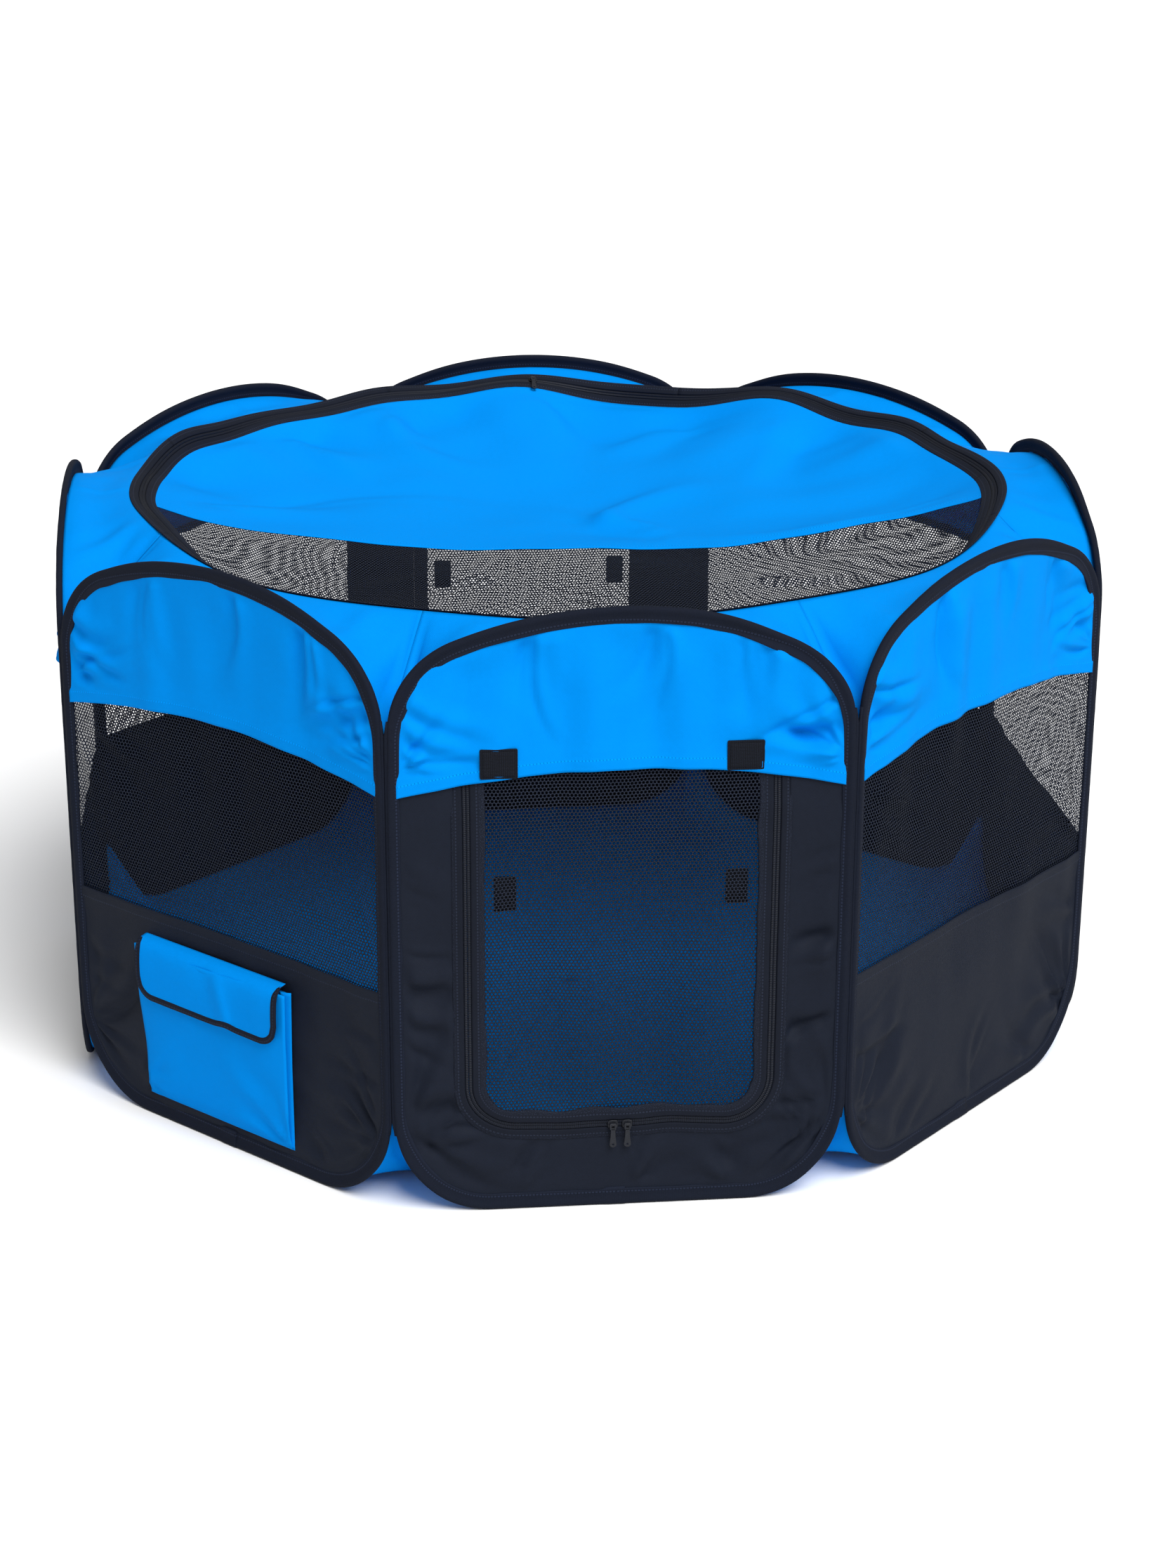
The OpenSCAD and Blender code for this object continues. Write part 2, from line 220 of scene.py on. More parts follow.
def on_side(k, x, y, z):
    """Points of the pen from distances along, into and up panel k."""
    x, y, z = np.broadcast_arrays(*(np.asarray(v, float) for v in (x, y, z)))
    c, s = math.cos(TURN * k), math.sin(TURN * k)
    return np.stack([x * c - (y - APOTHEM) * s, x * s + (y - APOTHEM) * c, z], -1)


def folds_from(x, z, corner_x, corner_z, reach, count, seed):
    """Folds that fan out from a corner and fade over their reach."""
    dx, dz = x - corner_x, z - corner_z
    away = np.hypot(dx, dz)
    angle = np.arctan2(dz, np.abs(dx) + 1e-6)
    bend = 0.35 * drift(away / 0.05, angle * 2, seed)
    wave = np.cos(count * (angle + bend)) + 0.45 * np.cos(1.7 * count * angle + seed)
    return wave * smooth(away / 0.03) * np.exp(-((away / reach) ** 2))


def two_fans(x, z, right, left):
    """Folds that fan out from a corner at the right and from one at the left of a cloth."""
    return folds_from(x, z, *right) * (x > 0) + folds_from(x, z, *left) * (x < 0)


def creases(x, z, lines):
    """Soft creases, each from a place, at an angle, with a length, width and height."""
    total = 0.0
    for at_x, at_z, angle, length, width, height in lines:
        c, s = math.cos(math.radians(angle)), math.sin(math.radians(angle))
        along = (x - at_x) * c + (z - at_z) * s
        across = (z - at_z) * c - (x - at_x) * s
        across = across - 0.15 * length * np.sin(along / length * 3 + at_x * 40)
        spread = width * (0.7 + 0.8 * np.clip(along / length, 0, 1))
        ridge = np.exp(-((across / spread) ** 2))
        ridge = ridge - 0.7 * np.exp(-(((across - 1.5 * spread) / (1.3 * spread)) ** 2))
        start = smooth(along / (0.2 * length) + 0.6)
        end = smooth((length - along) / (0.6 * length))
        total = total + height * ridge * start * end
    return total


def random_creases(seed, places, spread=14):
    """Creases that start near the given places, broad and fine ones, each with its own small differences."""
    dice = np.random.RandomState(seed)
    lines = []
    for at_x, at_z, angle, length, height in places:
        for width in (0.0115, 0.0075, 0.0045):
            lines.append((
                at_x + dice.uniform(-0.010, 0.010), at_z + dice.uniform(-0.024, 0.024),
                angle + dice.uniform(-spread, spread), length * dice.uniform(0.7, 1.2),
                width * dice.uniform(0.8, 1.2), height * dice.uniform(0.6, 1.1) * (width / 0.0075) ** 0.7,
            ))
    return lines


def inside(x, z, side_in, edge_in):
    """How far a point of a panel is from its outline, roughly."""
    return np.minimum(
        np.minimum(HALF - side_in - np.abs(x), arch_z(x, side_in, edge_in) - z),
        z - foot_z(x, side_in, edge_in),
    )


def off_sleeve(x, z, reach):
    """Eases from 0 at a sleeve's inner edge to 1 at a reach away from it."""
    return smooth(inside(x, z, SLEEVE_SIDE_W, SLEEVE_W) / reach)


def slack(k, x, z):
    """How far the cloth of panel k stands in or out of its flat plane."""
    wander = 0.0030 * drift(x / 0.105 + 11 * k, z / 0.12, 20 + k)
    wander = wander + 0.0011 * drift(x / 0.043 + 5, z / 0.05 + 3 * k, 40 + k)
    lean = x + 0.35 * x * (z - 0.35)
    pulls = 0.0040 * drift(lean / 0.030 + 9, z / 0.17 + 2 * k, 70 + k)
    wander = wander + pulls * (0.35 + 0.65 * smooth((z - 0.33) / 0.12))
    return wander * off_sleeve(x, z, 0.035)


def near_hem(x, z):
    """1 within a finger's breadth of the bright band's lower edge, fading to 0."""
    return 1 - smooth((np.abs(z - band_edge(x)) - 0.010) / 0.022)


def crooked(k, length, x, z):
    """How far a hoop is pulled inward from its true outline: least at its foot and its sewn sides."""
    whole = length[-1]
    pull = 0.0014 * (1 + drift(length / whole * 15, 0.5, 300 + k))
    shoulder = np.exp(-(((np.abs(x) - 0.165) / 0.05) ** 2)) * smooth((z - 0.5) / 0.05)
    pull = pull + 0.0032 * shoulder * (1 + 0.8 * np.sign(x) * math.sin(2.1 * k + 0.9))
    sewn = smooth((z - 0.07) / 0.05) * smooth((0.49 - z) / 0.06)
    return pull * (1 - 0.95 * sewn) * smooth((z - 0.004) / 0.03)


# ---------------------------------------------------------------- meshes

def grid_faces(rows, cols, start=0):
    """Quads of a grid of points numbered row by row."""
    i = np.arange(rows - 1)[:, None] * cols + np.arange(cols - 1)[None, :] + start
    return np.stack([i, i + 1, i + cols + 1, i + cols], -1).reshape(-1, 4)


def grid_normals(points):
    """Unit normals of a grid of points."""
    down = np.gradient(points, axis=0)
    across = np.gradient(points, axis=1)
    normal = np.cross(across, down)
    return normal / np.maximum(np.linalg.norm(normal, axis=-1, keepdims=True), 1e-12)


def grid_area(points):
    """Area of a grid of points."""
    a = points[1:, 1:] - points[:-1, :-1]
    b = points[1:, :-1] - points[:-1, 1:]
    return float(np.linalg.norm(np.cross(a, b), axis=-1).sum() / 2)


class Cut:
    """Parts of one piece, gathered before they become a single mesh."""

    def __init__(self):
        self.points, self.faces, self.flat, self.slots, self.finishes = [], [], [], [], []
        self.count = 0

    def add(self, points, faces, flat, finish):
        """Adds points, faces numbered from 0, the cloth's own flat coordinates and a finish."""
        if finish not in self.finishes:
            self.finishes.append(finish)
        self.points.append(np.asarray(points, float).reshape(-1, 3))
        self.flat.append(np.asarray(flat, float).reshape(-1, 2))
        for face in faces:
            self.faces.append([int(v) + self.count for v in face])
        self.slots += [self.finishes.index(finish)] * len(faces)
        self.count += len(self.points[-1])
        return self

    def surface(self, points, flat, finish, thickness=0.0):
        """Adds a grid of points, as one skin or as cloth with two faces and an edge."""
        rows, cols = points.shape[:2]
        if not thickness:
            return self.add(points, grid_faces(rows, cols), flat, finish)
        push = grid_normals(points) * thickness / 2
        count = rows * cols
        front, back = grid_faces(rows, cols), grid_faces(rows, cols, count)[:, ::-1]
        rim = np.concatenate([
            np.arange(cols),
            np.arange(2, rows) * cols - 1 if rows > 2 else np.array([], int),
            count - 1 - np.arange(cols),
            np.arange(rows - 2, 0, -1) * cols,
        ])
        rim = np.array(list(dict.fromkeys(rim.tolist())))
        following = np.roll(rim, -1)
        edge = np.stack([following, rim, rim + count, following + count], -1)
        return self.add(
            np.concatenate([(points + push).reshape(-1, 3), (points - push).reshape(-1, 3)]),
            np.concatenate([front, back, edge]),
            np.concatenate([flat.reshape(-1, 2)] * 2),
            finish,
        )

    def tube(self, rings, flat, finish, closed=True, capped=True):
        """Adds a loft through rings of points, closed round each ring."""
        count, size = rings.shape[:2]
        i = np.arange(count - 1)[:, None] * size
        j = np.arange(size if closed else size - 1)[None, :]
        following = (j + 1) % size
        faces = np.stack([i + j, i + following, i + size + following, i + size + j], -1)
        faces = [list(f) for f in faces.reshape(-1, 4)]
        if capped and closed:
            faces.append(list(range(size))[::-1])
            faces.append([(count - 1) * size + v for v in range(size)])
        return self.add(rings, faces, flat, finish)

    def build(self, name, body):
        """Makes the object and lets it ride on a body."""
        mesh = bpy.data.meshes.new(name)
        points = np.concatenate(self.points)
        mesh.from_pydata(points.tolist(), [], self.faces)
        layer = mesh.uv_layers.new(name="Cloth")
        loops = np.zeros(len(mesh.loops), int)
        mesh.loops.foreach_get("vertex_index", loops)
        layer.data.foreach_set("uv", np.concatenate(self.flat)[loops].astype(np.float32).ravel())
        for finish in self.finishes:
            mesh.materials.append(bpy.data.materials[finish])
        mesh.polygons.foreach_set("material_index", np.array(self.slots, np.int32))
        mesh.shade_smooth()
        mesh.update()
        piece = bpy.data.objects.new(name, mesh)
        bpy.context.scene.collection.objects.link(piece)
        if body:
            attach(piece, body)
        return piece


def say_sheet(points, flat):
    """Works out a piece of cloth's width, length and area from the size it was cut to; they are not used."""
    width, length = (float(np.ptp(flat[..., i])) for i in (0, 1))
    width, length = max(width, 0.011), max(length, 0.011)
    area = min(max(grid_area(points), 0.31 * width * length), 0.999 * width * length)


def into_pen(k):
    """Direction from panel k straight into the pen."""
    return on_side(k, 0, 1, 0) - on_side(k, 0, 0, 0)


def lay_flat(piece, k, behind=0.0):
    """Gives a cloth of panel k its own copy of its mesh."""
    anchor = on_side(k, 0, behind, 0.3)
    plain(into_pen(k))
    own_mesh(piece)


def sew_to_wall(cut, k, name, node, points, flat):
    """Finishes a cloth that is stretched in the hoop of panel k."""
    side = SIDES[k]
    piece = cut.build(f"{side}_{name}", f"panel_{side}")
    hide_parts(f"{node}_{side}")
    say_sheet(points, flat)
    lay_flat(piece, k)


# ---------------------------------------------------------------- finishes

class Value:
    """One output of a shader, with the arithmetic that a finish is written in."""

    def __init__(self, finish, socket):
        self.finish, self.socket = finish, socket

    def _do(self, operation, *values):
        sockets = dict(enumerate(values))
        return self.finish.node("ShaderNodeMath", {"operation": operation}, sockets)

    def __add__(self, other):
        return self._do("ADD", self, other)

    __radd__ = __add__

    def __sub__(self, other):
        return self._do("SUBTRACT", self, other)

    def __rsub__(self, other):
        return self._do("SUBTRACT", other, self)

    def __mul__(self, other):
        return self._do("MULTIPLY", self, other)

    __rmul__ = __mul__

    def __truediv__(self, other):
        return self._do("DIVIDE", self, other)

    def __mod__(self, other):
        return self._do("FLOORED_MODULO", self, other)

    def __abs__(self):
        return self._do("ABSOLUTE", self)

    def cos(self):
        return self._do("COSINE", self)

class Finish:
    """One material, and the one method that adds its nodes."""

    def __init__(self, name):
        self.material = bpy.data.materials.new(name)
        self.material.use_nodes = True
        self.tree = self.material.node_tree
        self.tree.nodes.clear()

    def node(self, kind, settings=None, sockets=None, out=0):
        """Adds a node: its settings first, then the values or links of its sockets."""
        node = self.tree.nodes.new(kind)
        for key, value in (settings or {}).items():
            if key == "stops":
                while len(node.color_ramp.elements) < len(value):
                    node.color_ramp.elements.new(0.5)
                for element, (place, colour) in zip(node.color_ramp.elements, value):
                    element.position, element.color = place, colour
            else:
                setattr(node, key, value)
        for key, value in (sockets or {}).items():
            if isinstance(value, Value):
                self.tree.links.new(value.socket, node.inputs[key])
            else:
                node.inputs[key].default_value = value
        return Value(self, node.outputs[out]) if node.outputs else None

    def flat(self):
        """The cloth's own flat coordinates, along and across, in metres."""
        spot = self.node("ShaderNodeUVMap", {"uv_map": "Cloth"})
        along = self.node("ShaderNodeSeparateXYZ", {}, {"Vector": spot})
        across = self.node("ShaderNodeSeparateXYZ", {}, {"Vector": spot}, out=1)
        return spot, along, across

    def noise(self, spot, scale, detail=2.0, roughness=0.5):
        """Noise from 0 to 1, with that many swings to the metre."""
        return self.node(
            "ShaderNodeTexNoise",
            {"noise_dimensions": "3D"},
            {"Vector": spot, "Scale": scale, "Detail": detail, "Roughness": roughness},
        )

    def ease(self, value, low, high):
        """Eases from 0 to 1 as value goes from low to high."""
        return self.node(
            "ShaderNodeMapRange",
            {"interpolation_type": "SMOOTHSTEP"},
            {"Value": value, "From Min": low, "From Max": high},
        )

    def blend(self, share, a, b):
        """Colour a where share is 0 and colour b where it is 1."""
        return self.node("ShaderNodeMix", {"data_type": "RGBA"}, {0: share, 6: a, 7: b}, out=2)

    def bump(self, height, depth, strength=1.0):
        """Normals of a height from 0 to 1 that stands depth metres high."""
        return self.node(
            "ShaderNodeBump", {}, {"Height": height, "Distance": depth, "Strength": strength}
        )

    def skin(self, **sockets):
        """Ends the finish with its surface shader."""
        names = {key.replace("_", " "): value for key, value in sockets.items()}
        shader = self.node("ShaderNodeBsdfPrincipled", {}, names)
        self.node("ShaderNodeOutputMaterial", {}, {"Surface": shader})
        return self.material


def rgba(colour, gain=1.0):
    """A colour with full alpha, made lighter or darker by gain."""
    return (*(min(c * gain, 1.0) for c in colour), 1.0)


def stitch_row(finish, along, across, line, pitch=STITCH_PITCH, width=STITCH_W):
    """1 on the stitches of a row sewn at a distance from the edge, and 1 all along the row."""
    near = 1 - finish.ease(abs(across - line), width * 0.35, width * 0.7)
    phase = abs((along % pitch) - pitch / 2) / pitch
    return near * (1 - finish.ease(phase, 0.30, 0.40)), near


def woven(name, colour, pitch, rough, shine, stitch_line, stitch_gain, depth=0.00012, contrast=0.16):
    """Plain-woven cloth, with a row of stitches along its hem and painted shade along that row."""
    finish = Finish(name)
    spot, along, across = finish.flat()
    warp = (along * (2 * math.pi / pitch)).cos()
    weft = (across * (2 * math.pi / pitch)).cos()
    weave = warp * weft * 0.5 + 0.5
    slubs = finish.noise(spot, 900.0, 1.0)
    cloud = finish.noise(spot, 7.0, 3.0)
    grain = finish.noise(spot, 160.0, 3.0)
    stitches, near = stitch_row(finish, along, across, stitch_line)
    tone = weave * 0.40 + slubs * 0.22 + grain * 0.20 + cloud * 0.18
    cloth = finish.blend(tone, rgba(colour, 1 - 1.3 * contrast), rgba(colour, 1 + contrast))
    # Painted shade: the cloth is coloured darker all along the sunk row of stitches.
    groove_shaded = finish.blend(near * 0.35, cloth, rgba(colour, 0.6))
    final = finish.blend(stitches, groove_shaded, rgba(colour, stitch_gain))
    height = weave * 0.9 + slubs * 0.2 + stitches * 3.0 - near * 2.2 + grain * 1.1
    return finish.skin(
        Base_Color=final,
        Roughness=rough - 0.10 + cloud * 0.14 + grain * 0.08,
        Normal=finish.bump(height, depth),
        Specular_IOR_Level=shine,
    )


def ribbed(name, colour, stitch_line):
    """Ribbed binding tape folded over the hoop, with its stitches near the inner edge."""
    finish = Finish(name)
    spot, along, across = finish.flat()
    ribs = (along * (2 * math.pi / 0.0011)).cos() * 0.5 + 0.5
    grain = finish.noise(spot, 420.0, 2.0)
    cloud = finish.noise(spot, 26.0, 3.0)
    stitches, near = stitch_row(finish, along, across, stitch_line, 0.0034, 0.0013)
    worn = 1 - finish.ease(across, 0.0, 0.0012)
    tone = ribs * 0.25 + grain * 0.35 + cloud * 0.4
    tape = finish.blend(tone, rgba(colour, 0.62), rgba(colour, 1.5))
    fuzzed = finish.blend(worn * 0.3, tape, rgba(colour, 2.2))
    final = finish.blend(stitches, fuzzed, rgba(colour, 2.4))
    height = ribs * 0.6 + grain * 0.5 + stitches * 2.6 - near * 2.4 + cloud * 1.5
    return finish.skin(
        Base_Color=final,
        Roughness=0.74 + cloud * 0.16,
        Normal=finish.bump(height, 0.00018),
        Specular_IOR_Level=0.09,
    )


def knitted(name, colour, pitch, threshold):
    """Knitted netting with a hole between every few stitches, and painted highlights (glints) on its knots.
    """
    finish = Finish(name)
    spot, along, across = finish.flat()
    sway = finish.noise(spot, 26.0, 2.0) * (0.5 * pitch)
    step = 4 * math.pi / (math.sqrt(3) * pitch)
    upward = (across + sway) * step
    sideways = (along + sway) * (step * math.sqrt(3) / 2)
    lattice = upward.cos() + 2 * (upward * 0.5).cos() * sideways.cos()
    uneven = finish.noise(spot, 90.0, 2.0)
    hole = finish.ease(lattice + uneven * 0.6, threshold, threshold + 0.5)
    # Painted highlight: where threads cross, the yarn is coloured up to seven times lighter, speckled by the
    # glint noise.
    knot_glint_mask = finish.ease(0 - lattice, 0.55, 1.35)
    glint = finish.noise(spot, 700.0, 1.0)
    yarn = finish.blend(knot_glint_mask * glint, rgba(colour, 0.5), rgba(colour, 7.0))
    return finish.skin(
        Base_Color=yarn,
        Roughness=0.74 + glint * 0.16,
        Alpha=1 - hole,
        Normal=finish.bump(1 - lattice * 0.3, 0.0002),
        Specular_IOR_Level=0.10,
    )


def zip_coil(name, colour):
    """Smooth nylon of a zip's coil, with painted highlights on its turns and painted shade between them."""
    finish = Finish(name)
    spot, along, _ = finish.flat()
    ribs = (along * (2 * math.pi / 0.0018)).cos() * 0.5 + 0.5
    rub = finish.noise(spot, 300.0, 2.0)
    # Colour follows the coil's turns: lighter on each turn as a painted highlight, darker between turns as
    # painted shade, with random tone from the rub noise.
    return finish.skin(
        Base_Color=finish.blend(ribs * 0.6 + rub * 0.4, rgba(colour, 0.35), rgba(colour, 1.9)),
        Roughness=0.42 + rub * 0.16,
        Normal=finish.bump(rub * 0.3 + ribs, 0.00025),
        Specular_IOR_Level=0.14,
    )


def zip_tape(name, colour):
    """Herringbone zip tape, sewn down along its outer edge."""
    finish = Finish(name)
    spot, along, across = finish.flat()
    chevron = abs((across % 0.0030) - 0.0015)
    twill = ((along + chevron) * (2 * math.pi / 0.0010)).cos() * 0.5 + 0.5
    grain = finish.noise(spot, 500.0, 2.0)
    cloud = finish.noise(spot, 30.0, 2.0)
    stitches, near = stitch_row(finish, along, across, 0.0098)
    fuzz = finish.ease(finish.noise(spot, 1300.0, 2.0, 0.7), 0.52, 0.72)
    fuzz = fuzz * finish.ease(across, 0.0105, 0.0125)
    tone = twill * 0.35 + grain * 0.35 + cloud * 0.3
    cloth = finish.blend(tone, rgba(colour, 0.6), rgba(colour, 1.7))
    base = finish.blend(fuzz, cloth, rgba(colour, 6.0))
    return finish.skin(
        Base_Color=finish.blend(stitches, base, rgba(colour, 2.6)),
        Roughness=0.70 + grain * 0.18,
        Normal=finish.bump(twill * 0.4 + grain * 0.4 + stitches * 2.4 - near * 2.0, 0.00016),
        Specular_IOR_Level=0.09,
    )


def enamelled(name, colour):
    """Black enamelled metal of the zip sliders, rubbed lighter in scattered spots."""
    finish = Finish(name)
    spot = finish.node("ShaderNodeTexCoord", out=3)
    rub = finish.noise(spot, 900.0, 3.0)
    marks = finish.noise(spot, 240.0, 4.0)
    return finish.skin(
        Base_Color=finish.blend(finish.ease(rub, 0.45, 0.8), rgba(colour), rgba(colour, 2.2)),
        Roughness=0.40 + marks * 0.25,
        Metallic=0.05 + rub * 0.1,
        Normal=finish.bump(marks, 0.00008),
        Specular_IOR_Level=0.35,
    )


def hooked(name, colour):
    """Hook tape: short stiff hooks in rows."""
    finish = Finish(name)
    spot, along, across = finish.flat()
    rows = (along * (2 * math.pi / 0.0017)).cos() * 0.5 + 0.5
    hooks = (across * (2 * math.pi / 0.0014)).cos() * 0.5 + 0.5
    tangle = finish.noise(spot, 1100.0, 3.0, 0.7)
    tuft = rows * hooks * 0.45 + tangle * 0.75
    return finish.skin(
        Base_Color=finish.blend(finish.ease(tuft, 0.2, 0.95), rgba(colour, 0.15), rgba(colour, 2.0)),
        Roughness=0.62 + tangle * 0.3,
        Normal=finish.bump(tuft, 0.0006),
        Specular_IOR_Level=0.12,
    )


def drawn_wire(name):
    """Spring steel wire with fine drawing marks."""
    finish = Finish(name)
    spot = finish.node("ShaderNodeTexCoord", out=3)
    stain = finish.noise(spot, 60.0, 4.0)
    marks = finish.noise(spot, 2200.0, 2.0)
    return finish.skin(
        Base_Color=finish.blend(stain, (0.32, 0.33, 0.35, 1), (0.52, 0.53, 0.56, 1)),
        Roughness=0.24 + stain * 0.2 + marks * 0.08,
        Metallic=1.0,
        Normal=finish.bump(marks, 0.00004),
    )


# ---------------------------------------------------------------- settings

def colour_setting(name, description, default):
    return bpy.props.FloatVectorProperty(
        name=name, description=description, default=default, size=3, min=0, max=1, subtype="COLOR"
    )


def length_setting(name, description, default, low, high):
    return bpy.props.FloatProperty(
        name=name, description=description, default=default, min=low, max=high,
        unit="LENGTH", subtype="DISTANCE", precision=4,
    )


def number_setting(name, description, default, low):
    return bpy.props.FloatProperty(name=name, description=description, default=default, min=low)


def angle_setting(name, description, degrees):
    return bpy.props.FloatProperty(
        name=name, description=description, default=math.radians(degrees), subtype="ANGLE"
    )


class PlaypenColours(bpy.types.PropertyGroup):
    """Colours of the cloth, netting and fittings."""

    band: colour_setting("Bright cloth", "Bands, collar, roof, floor and pocket", (0.0004, 0.225, 0.70))
    skirt: colour_setting("Dark cloth", "Lower bands and door surrounds", (0.0082, 0.0112, 0.0205))
    sleeve: colour_setting("Sleeves", "Binding tape round the hoops", (0.0062, 0.0085, 0.0165))
    net: colour_setting("Netting", "Yarn of the windows and door flaps", (0.0045, 0.0060, 0.0105))
    zips: colour_setting("Zips", "Tape, coil and hook pads", (0.0062, 0.0080, 0.0140))
    enamel: colour_setting("Slider enamel", "Enamel of the zip sliders", (0.006, 0.0075, 0.012))
    ground: colour_setting("Floor under the pen", "Plain pale studio floor", (0.90, 0.90, 0.90))


class PlaypenSizes(bpy.types.PropertyGroup):
    """Sizes of the cloth's own detail."""

    hem: length_setting("Hem", "Width of a turned hem", 0.012, 0.006, 0.020)
    cloth: length_setting("Cloth thickness", "Thickness of the woven cloth", 0.0009, 0.0004, 0.0014)
    weave: length_setting("Weave pitch", "Distance between threads", 0.0014, 0.0004, 0.002)
    net_pitch: length_setting("Net pitch", "Distance between holes of the netting", 0.0036, 0.001, 0.006)
    fold: length_setting("Fold depth", "Depth of the pulled folds near the seams", 0.0056, 0.0, 0.006)
    sag: length_setting("Roof sag", "How far the roof cover hangs in the middle", 0.060, 0.0, 0.08)
    coil: length_setting("Coil pitch", "Distance between turns of a zip coil", 0.0018, 0.001, 0.004)


class PlaypenView(bpy.types.PropertyGroup):
    """Camera and lamps."""

    lens: number_setting("Lens", "Focal length in millimetres", 67.9, 20)
    distance: length_setting("Distance", "From the camera to its aim", 3.287, 1.0, 8.0)
    azimuth: angle_setting("Azimuth", "Camera's turn to the left of the front", 5.72)
    elevation: angle_setting("Elevation", "Camera's height angle", 20.59)
    roll: angle_setting("Roll", "Camera's roll", 0.18)
    aim: bpy.props.FloatVectorProperty(
        name="Aim", description="Point the camera looks at", default=(0.0135, 0.0, 0.2368), size=3,
        subtype="TRANSLATION",
    )
    key: number_setting("Key lamp", "Strength of the large soft lamp", 3.9, 0)
    key_size: angle_setting("Key lamp size", "How wide the lamp looks from the pen", 38.0)
    sky: number_setting("Backdrop", "Light that the plain white backdrop gives", 0.41, 0)


def make_finishes(colours, sizes):
    """Makes every finish once."""
    if "bright_cloth" in bpy.data.materials:
        return
    row = sizes.hem - STITCH_IN
    woven("bright_cloth", colours.band, sizes.weave, 0.70, 0.012, row, 1.2)
    woven("dark_cloth", colours.skirt, sizes.weave, 0.62, 0.085, row, 1.9, 0.00018, 0.45)
    ribbed("sleeve_tape", colours.sleeve, 0.0026)
    knitted("window_net", colours.net, sizes.net_pitch, 0.15)
    zip_coil("zip_coil", colours.zips)
    zip_tape("zip_tape", colours.zips)
    enamelled("slider_metal", colours.enamel)
    hooked("hook_tape", colours.zips)
    drawn_wire("spring_wire")


def settings():
    """The cloth's sizes, once every finish is made."""
    scene = bpy.context.scene
    make_finishes(scene.playpen_colours, scene.playpen_sizes)
    return scene.playpen_sizes


# ---------------------------------------------------------------- sleeves and hoops

def hoop_line(step):
    """Outline of a panel from the middle of its foot round and past it: place, way inward, length."""
    sx, sz, radius = shoulder_centre(0, 0)
    crown_z = TOP - CROWN_R
    tilt = math.atan2(sz - crown_z, sx)

    def straight(a, b):
        n = max(2, int(math.dist(a, b) / step))
        share = np.linspace(0, 1, n, endpoint=False)[:, None]
        way = (np.array(b) - a) / math.dist(a, b)
        return np.array(a) + share * (np.array(b) - a), np.tile([-way[1], way[0]], (n, 1))

    def bend(x, z, r, start, end):
        n = max(3, int(abs(end - start) * r / step))
        q = np.linspace(start, end, n, endpoint=False)
        out = np.stack([np.cos(q), np.sin(q)], -1)
        return np.array([x, z]) + r * out, -out

    quarter, flat = math.pi / 2, HALF - FOOT_R
    parts = [
        straight((-0.006, 0), (flat, 0)),
        bend(flat, FOOT_R, FOOT_R, -quarter, 0),
        straight((HALF, FOOT_R), (HALF, sz)),
        bend(sx, sz, radius, 0, tilt),
        bend(0, crown_z, CROWN_R, tilt, math.pi - tilt),
        bend(-sx, sz, radius, math.pi - tilt, math.pi),
        straight((-HALF, sz), (-HALF, FOOT_R)),
        bend(-flat, FOOT_R, FOOT_R, math.pi, 3 * quarter),
        straight((-flat, 0), (0.011, 0)),
    ]
    place = np.concatenate([p[0] for p in parts])
    inward = np.concatenate([p[1] for p in parts])
    return place, inward, run_of(place)


def sleeve_section(k, x, z, length):
    """Skin of panel k's sleeve along its hoop: how far in, how far off the wall, and the tape's width."""
    wire_in = np.array([0.0, 0.25, 1.2, 3.0, 5.0, 6.6]) * MM
    wire_up = np.array([0.25, 1.7, 2.9, 3.3, 3.15, 2.25]) * MM
    tape_share = np.array([0.30, 0.55, 0.80, 0.97, 1.0])
    tape_up = np.array([1.60, 1.35, 1.30, 1.15, 0.30]) * MM
    tape_from, most = 0.0072, 0.0036
    upright = smooth((np.abs(x) - 0.165) / 0.045) * smooth((z - 0.05) / 0.06)
    upright = upright * smooth((0.53 - z) / 0.05)
    width = SLEEVE_W - (SLEEVE_W - SLEEVE_SIDE_W) * upright
    wobble = drift(length / 0.020, 0.5, 60 + k)
    pucker = 1 + 0.05 * drift(length / 0.0075, 1.5, 70 + k)
    lean = 0.0011 * drift(length / 0.05, 2.5, 80 + k)
    lap = smooth((length - length[-1] + 0.022) / 0.003)
    wide = width + 0.0009 * wobble + 0.0018 * lap
    tape_in = tape_from + tape_share * (wide - tape_from)[:, None]
    deep = np.concatenate([np.tile(wire_in, (len(x), 1)), tape_in], 1)
    deep = deep + crooked(k, length, x, z)[:, None]
    high = np.tile(np.concatenate([wire_up, tape_up]), (len(x), 1)) * pucker[:, None]
    high = np.minimum(high * (1 + 0.12 * lap)[:, None] + (0.0003 * lap)[:, None], most)
    deep = np.concatenate([deep, deep[:, ::-1]], 1)
    high = np.concatenate([-high, high[:, ::-1]], 1) + lean[:, None] * smooth(deep / 0.016)
    return deep, high, width


def add_seam_lip(cut, k, end):
    """Adds the narrow lip by which a sleeve is sewn to the next one, at one end of panel k."""
    up = np.linspace(FOOT_R - 0.012, shoulder_centre(0, 0)[1] + 0.012, 60)
    reach = CORNER - 0.00012
    reach = reach - (0.0022 * smooth((FOOT_R + 0.004 - up) / 0.016) + 0.0022 * smooth((up - 0.487) / 0.016))
    root = np.full_like(up, HALF - 0.003)
    thick = 0.0011 + 0.0004 * drift(up / 0.012, 0.5, 90 + k)
    x = np.stack([root, reach, reach, root], -1) * end
    y = np.stack([-thick - 0.0006, -thick, thick, thick + 0.0006], -1)
    z = np.tile(up[:, None], (1, 4))
    if end < 0:
        x, y = x[:, ::-1], y[:, ::-1]
    cut.tube(on_side(k, x, y, z), np.stack([z, np.full_like(z, 0.006)], -1), "sleeve_tape")


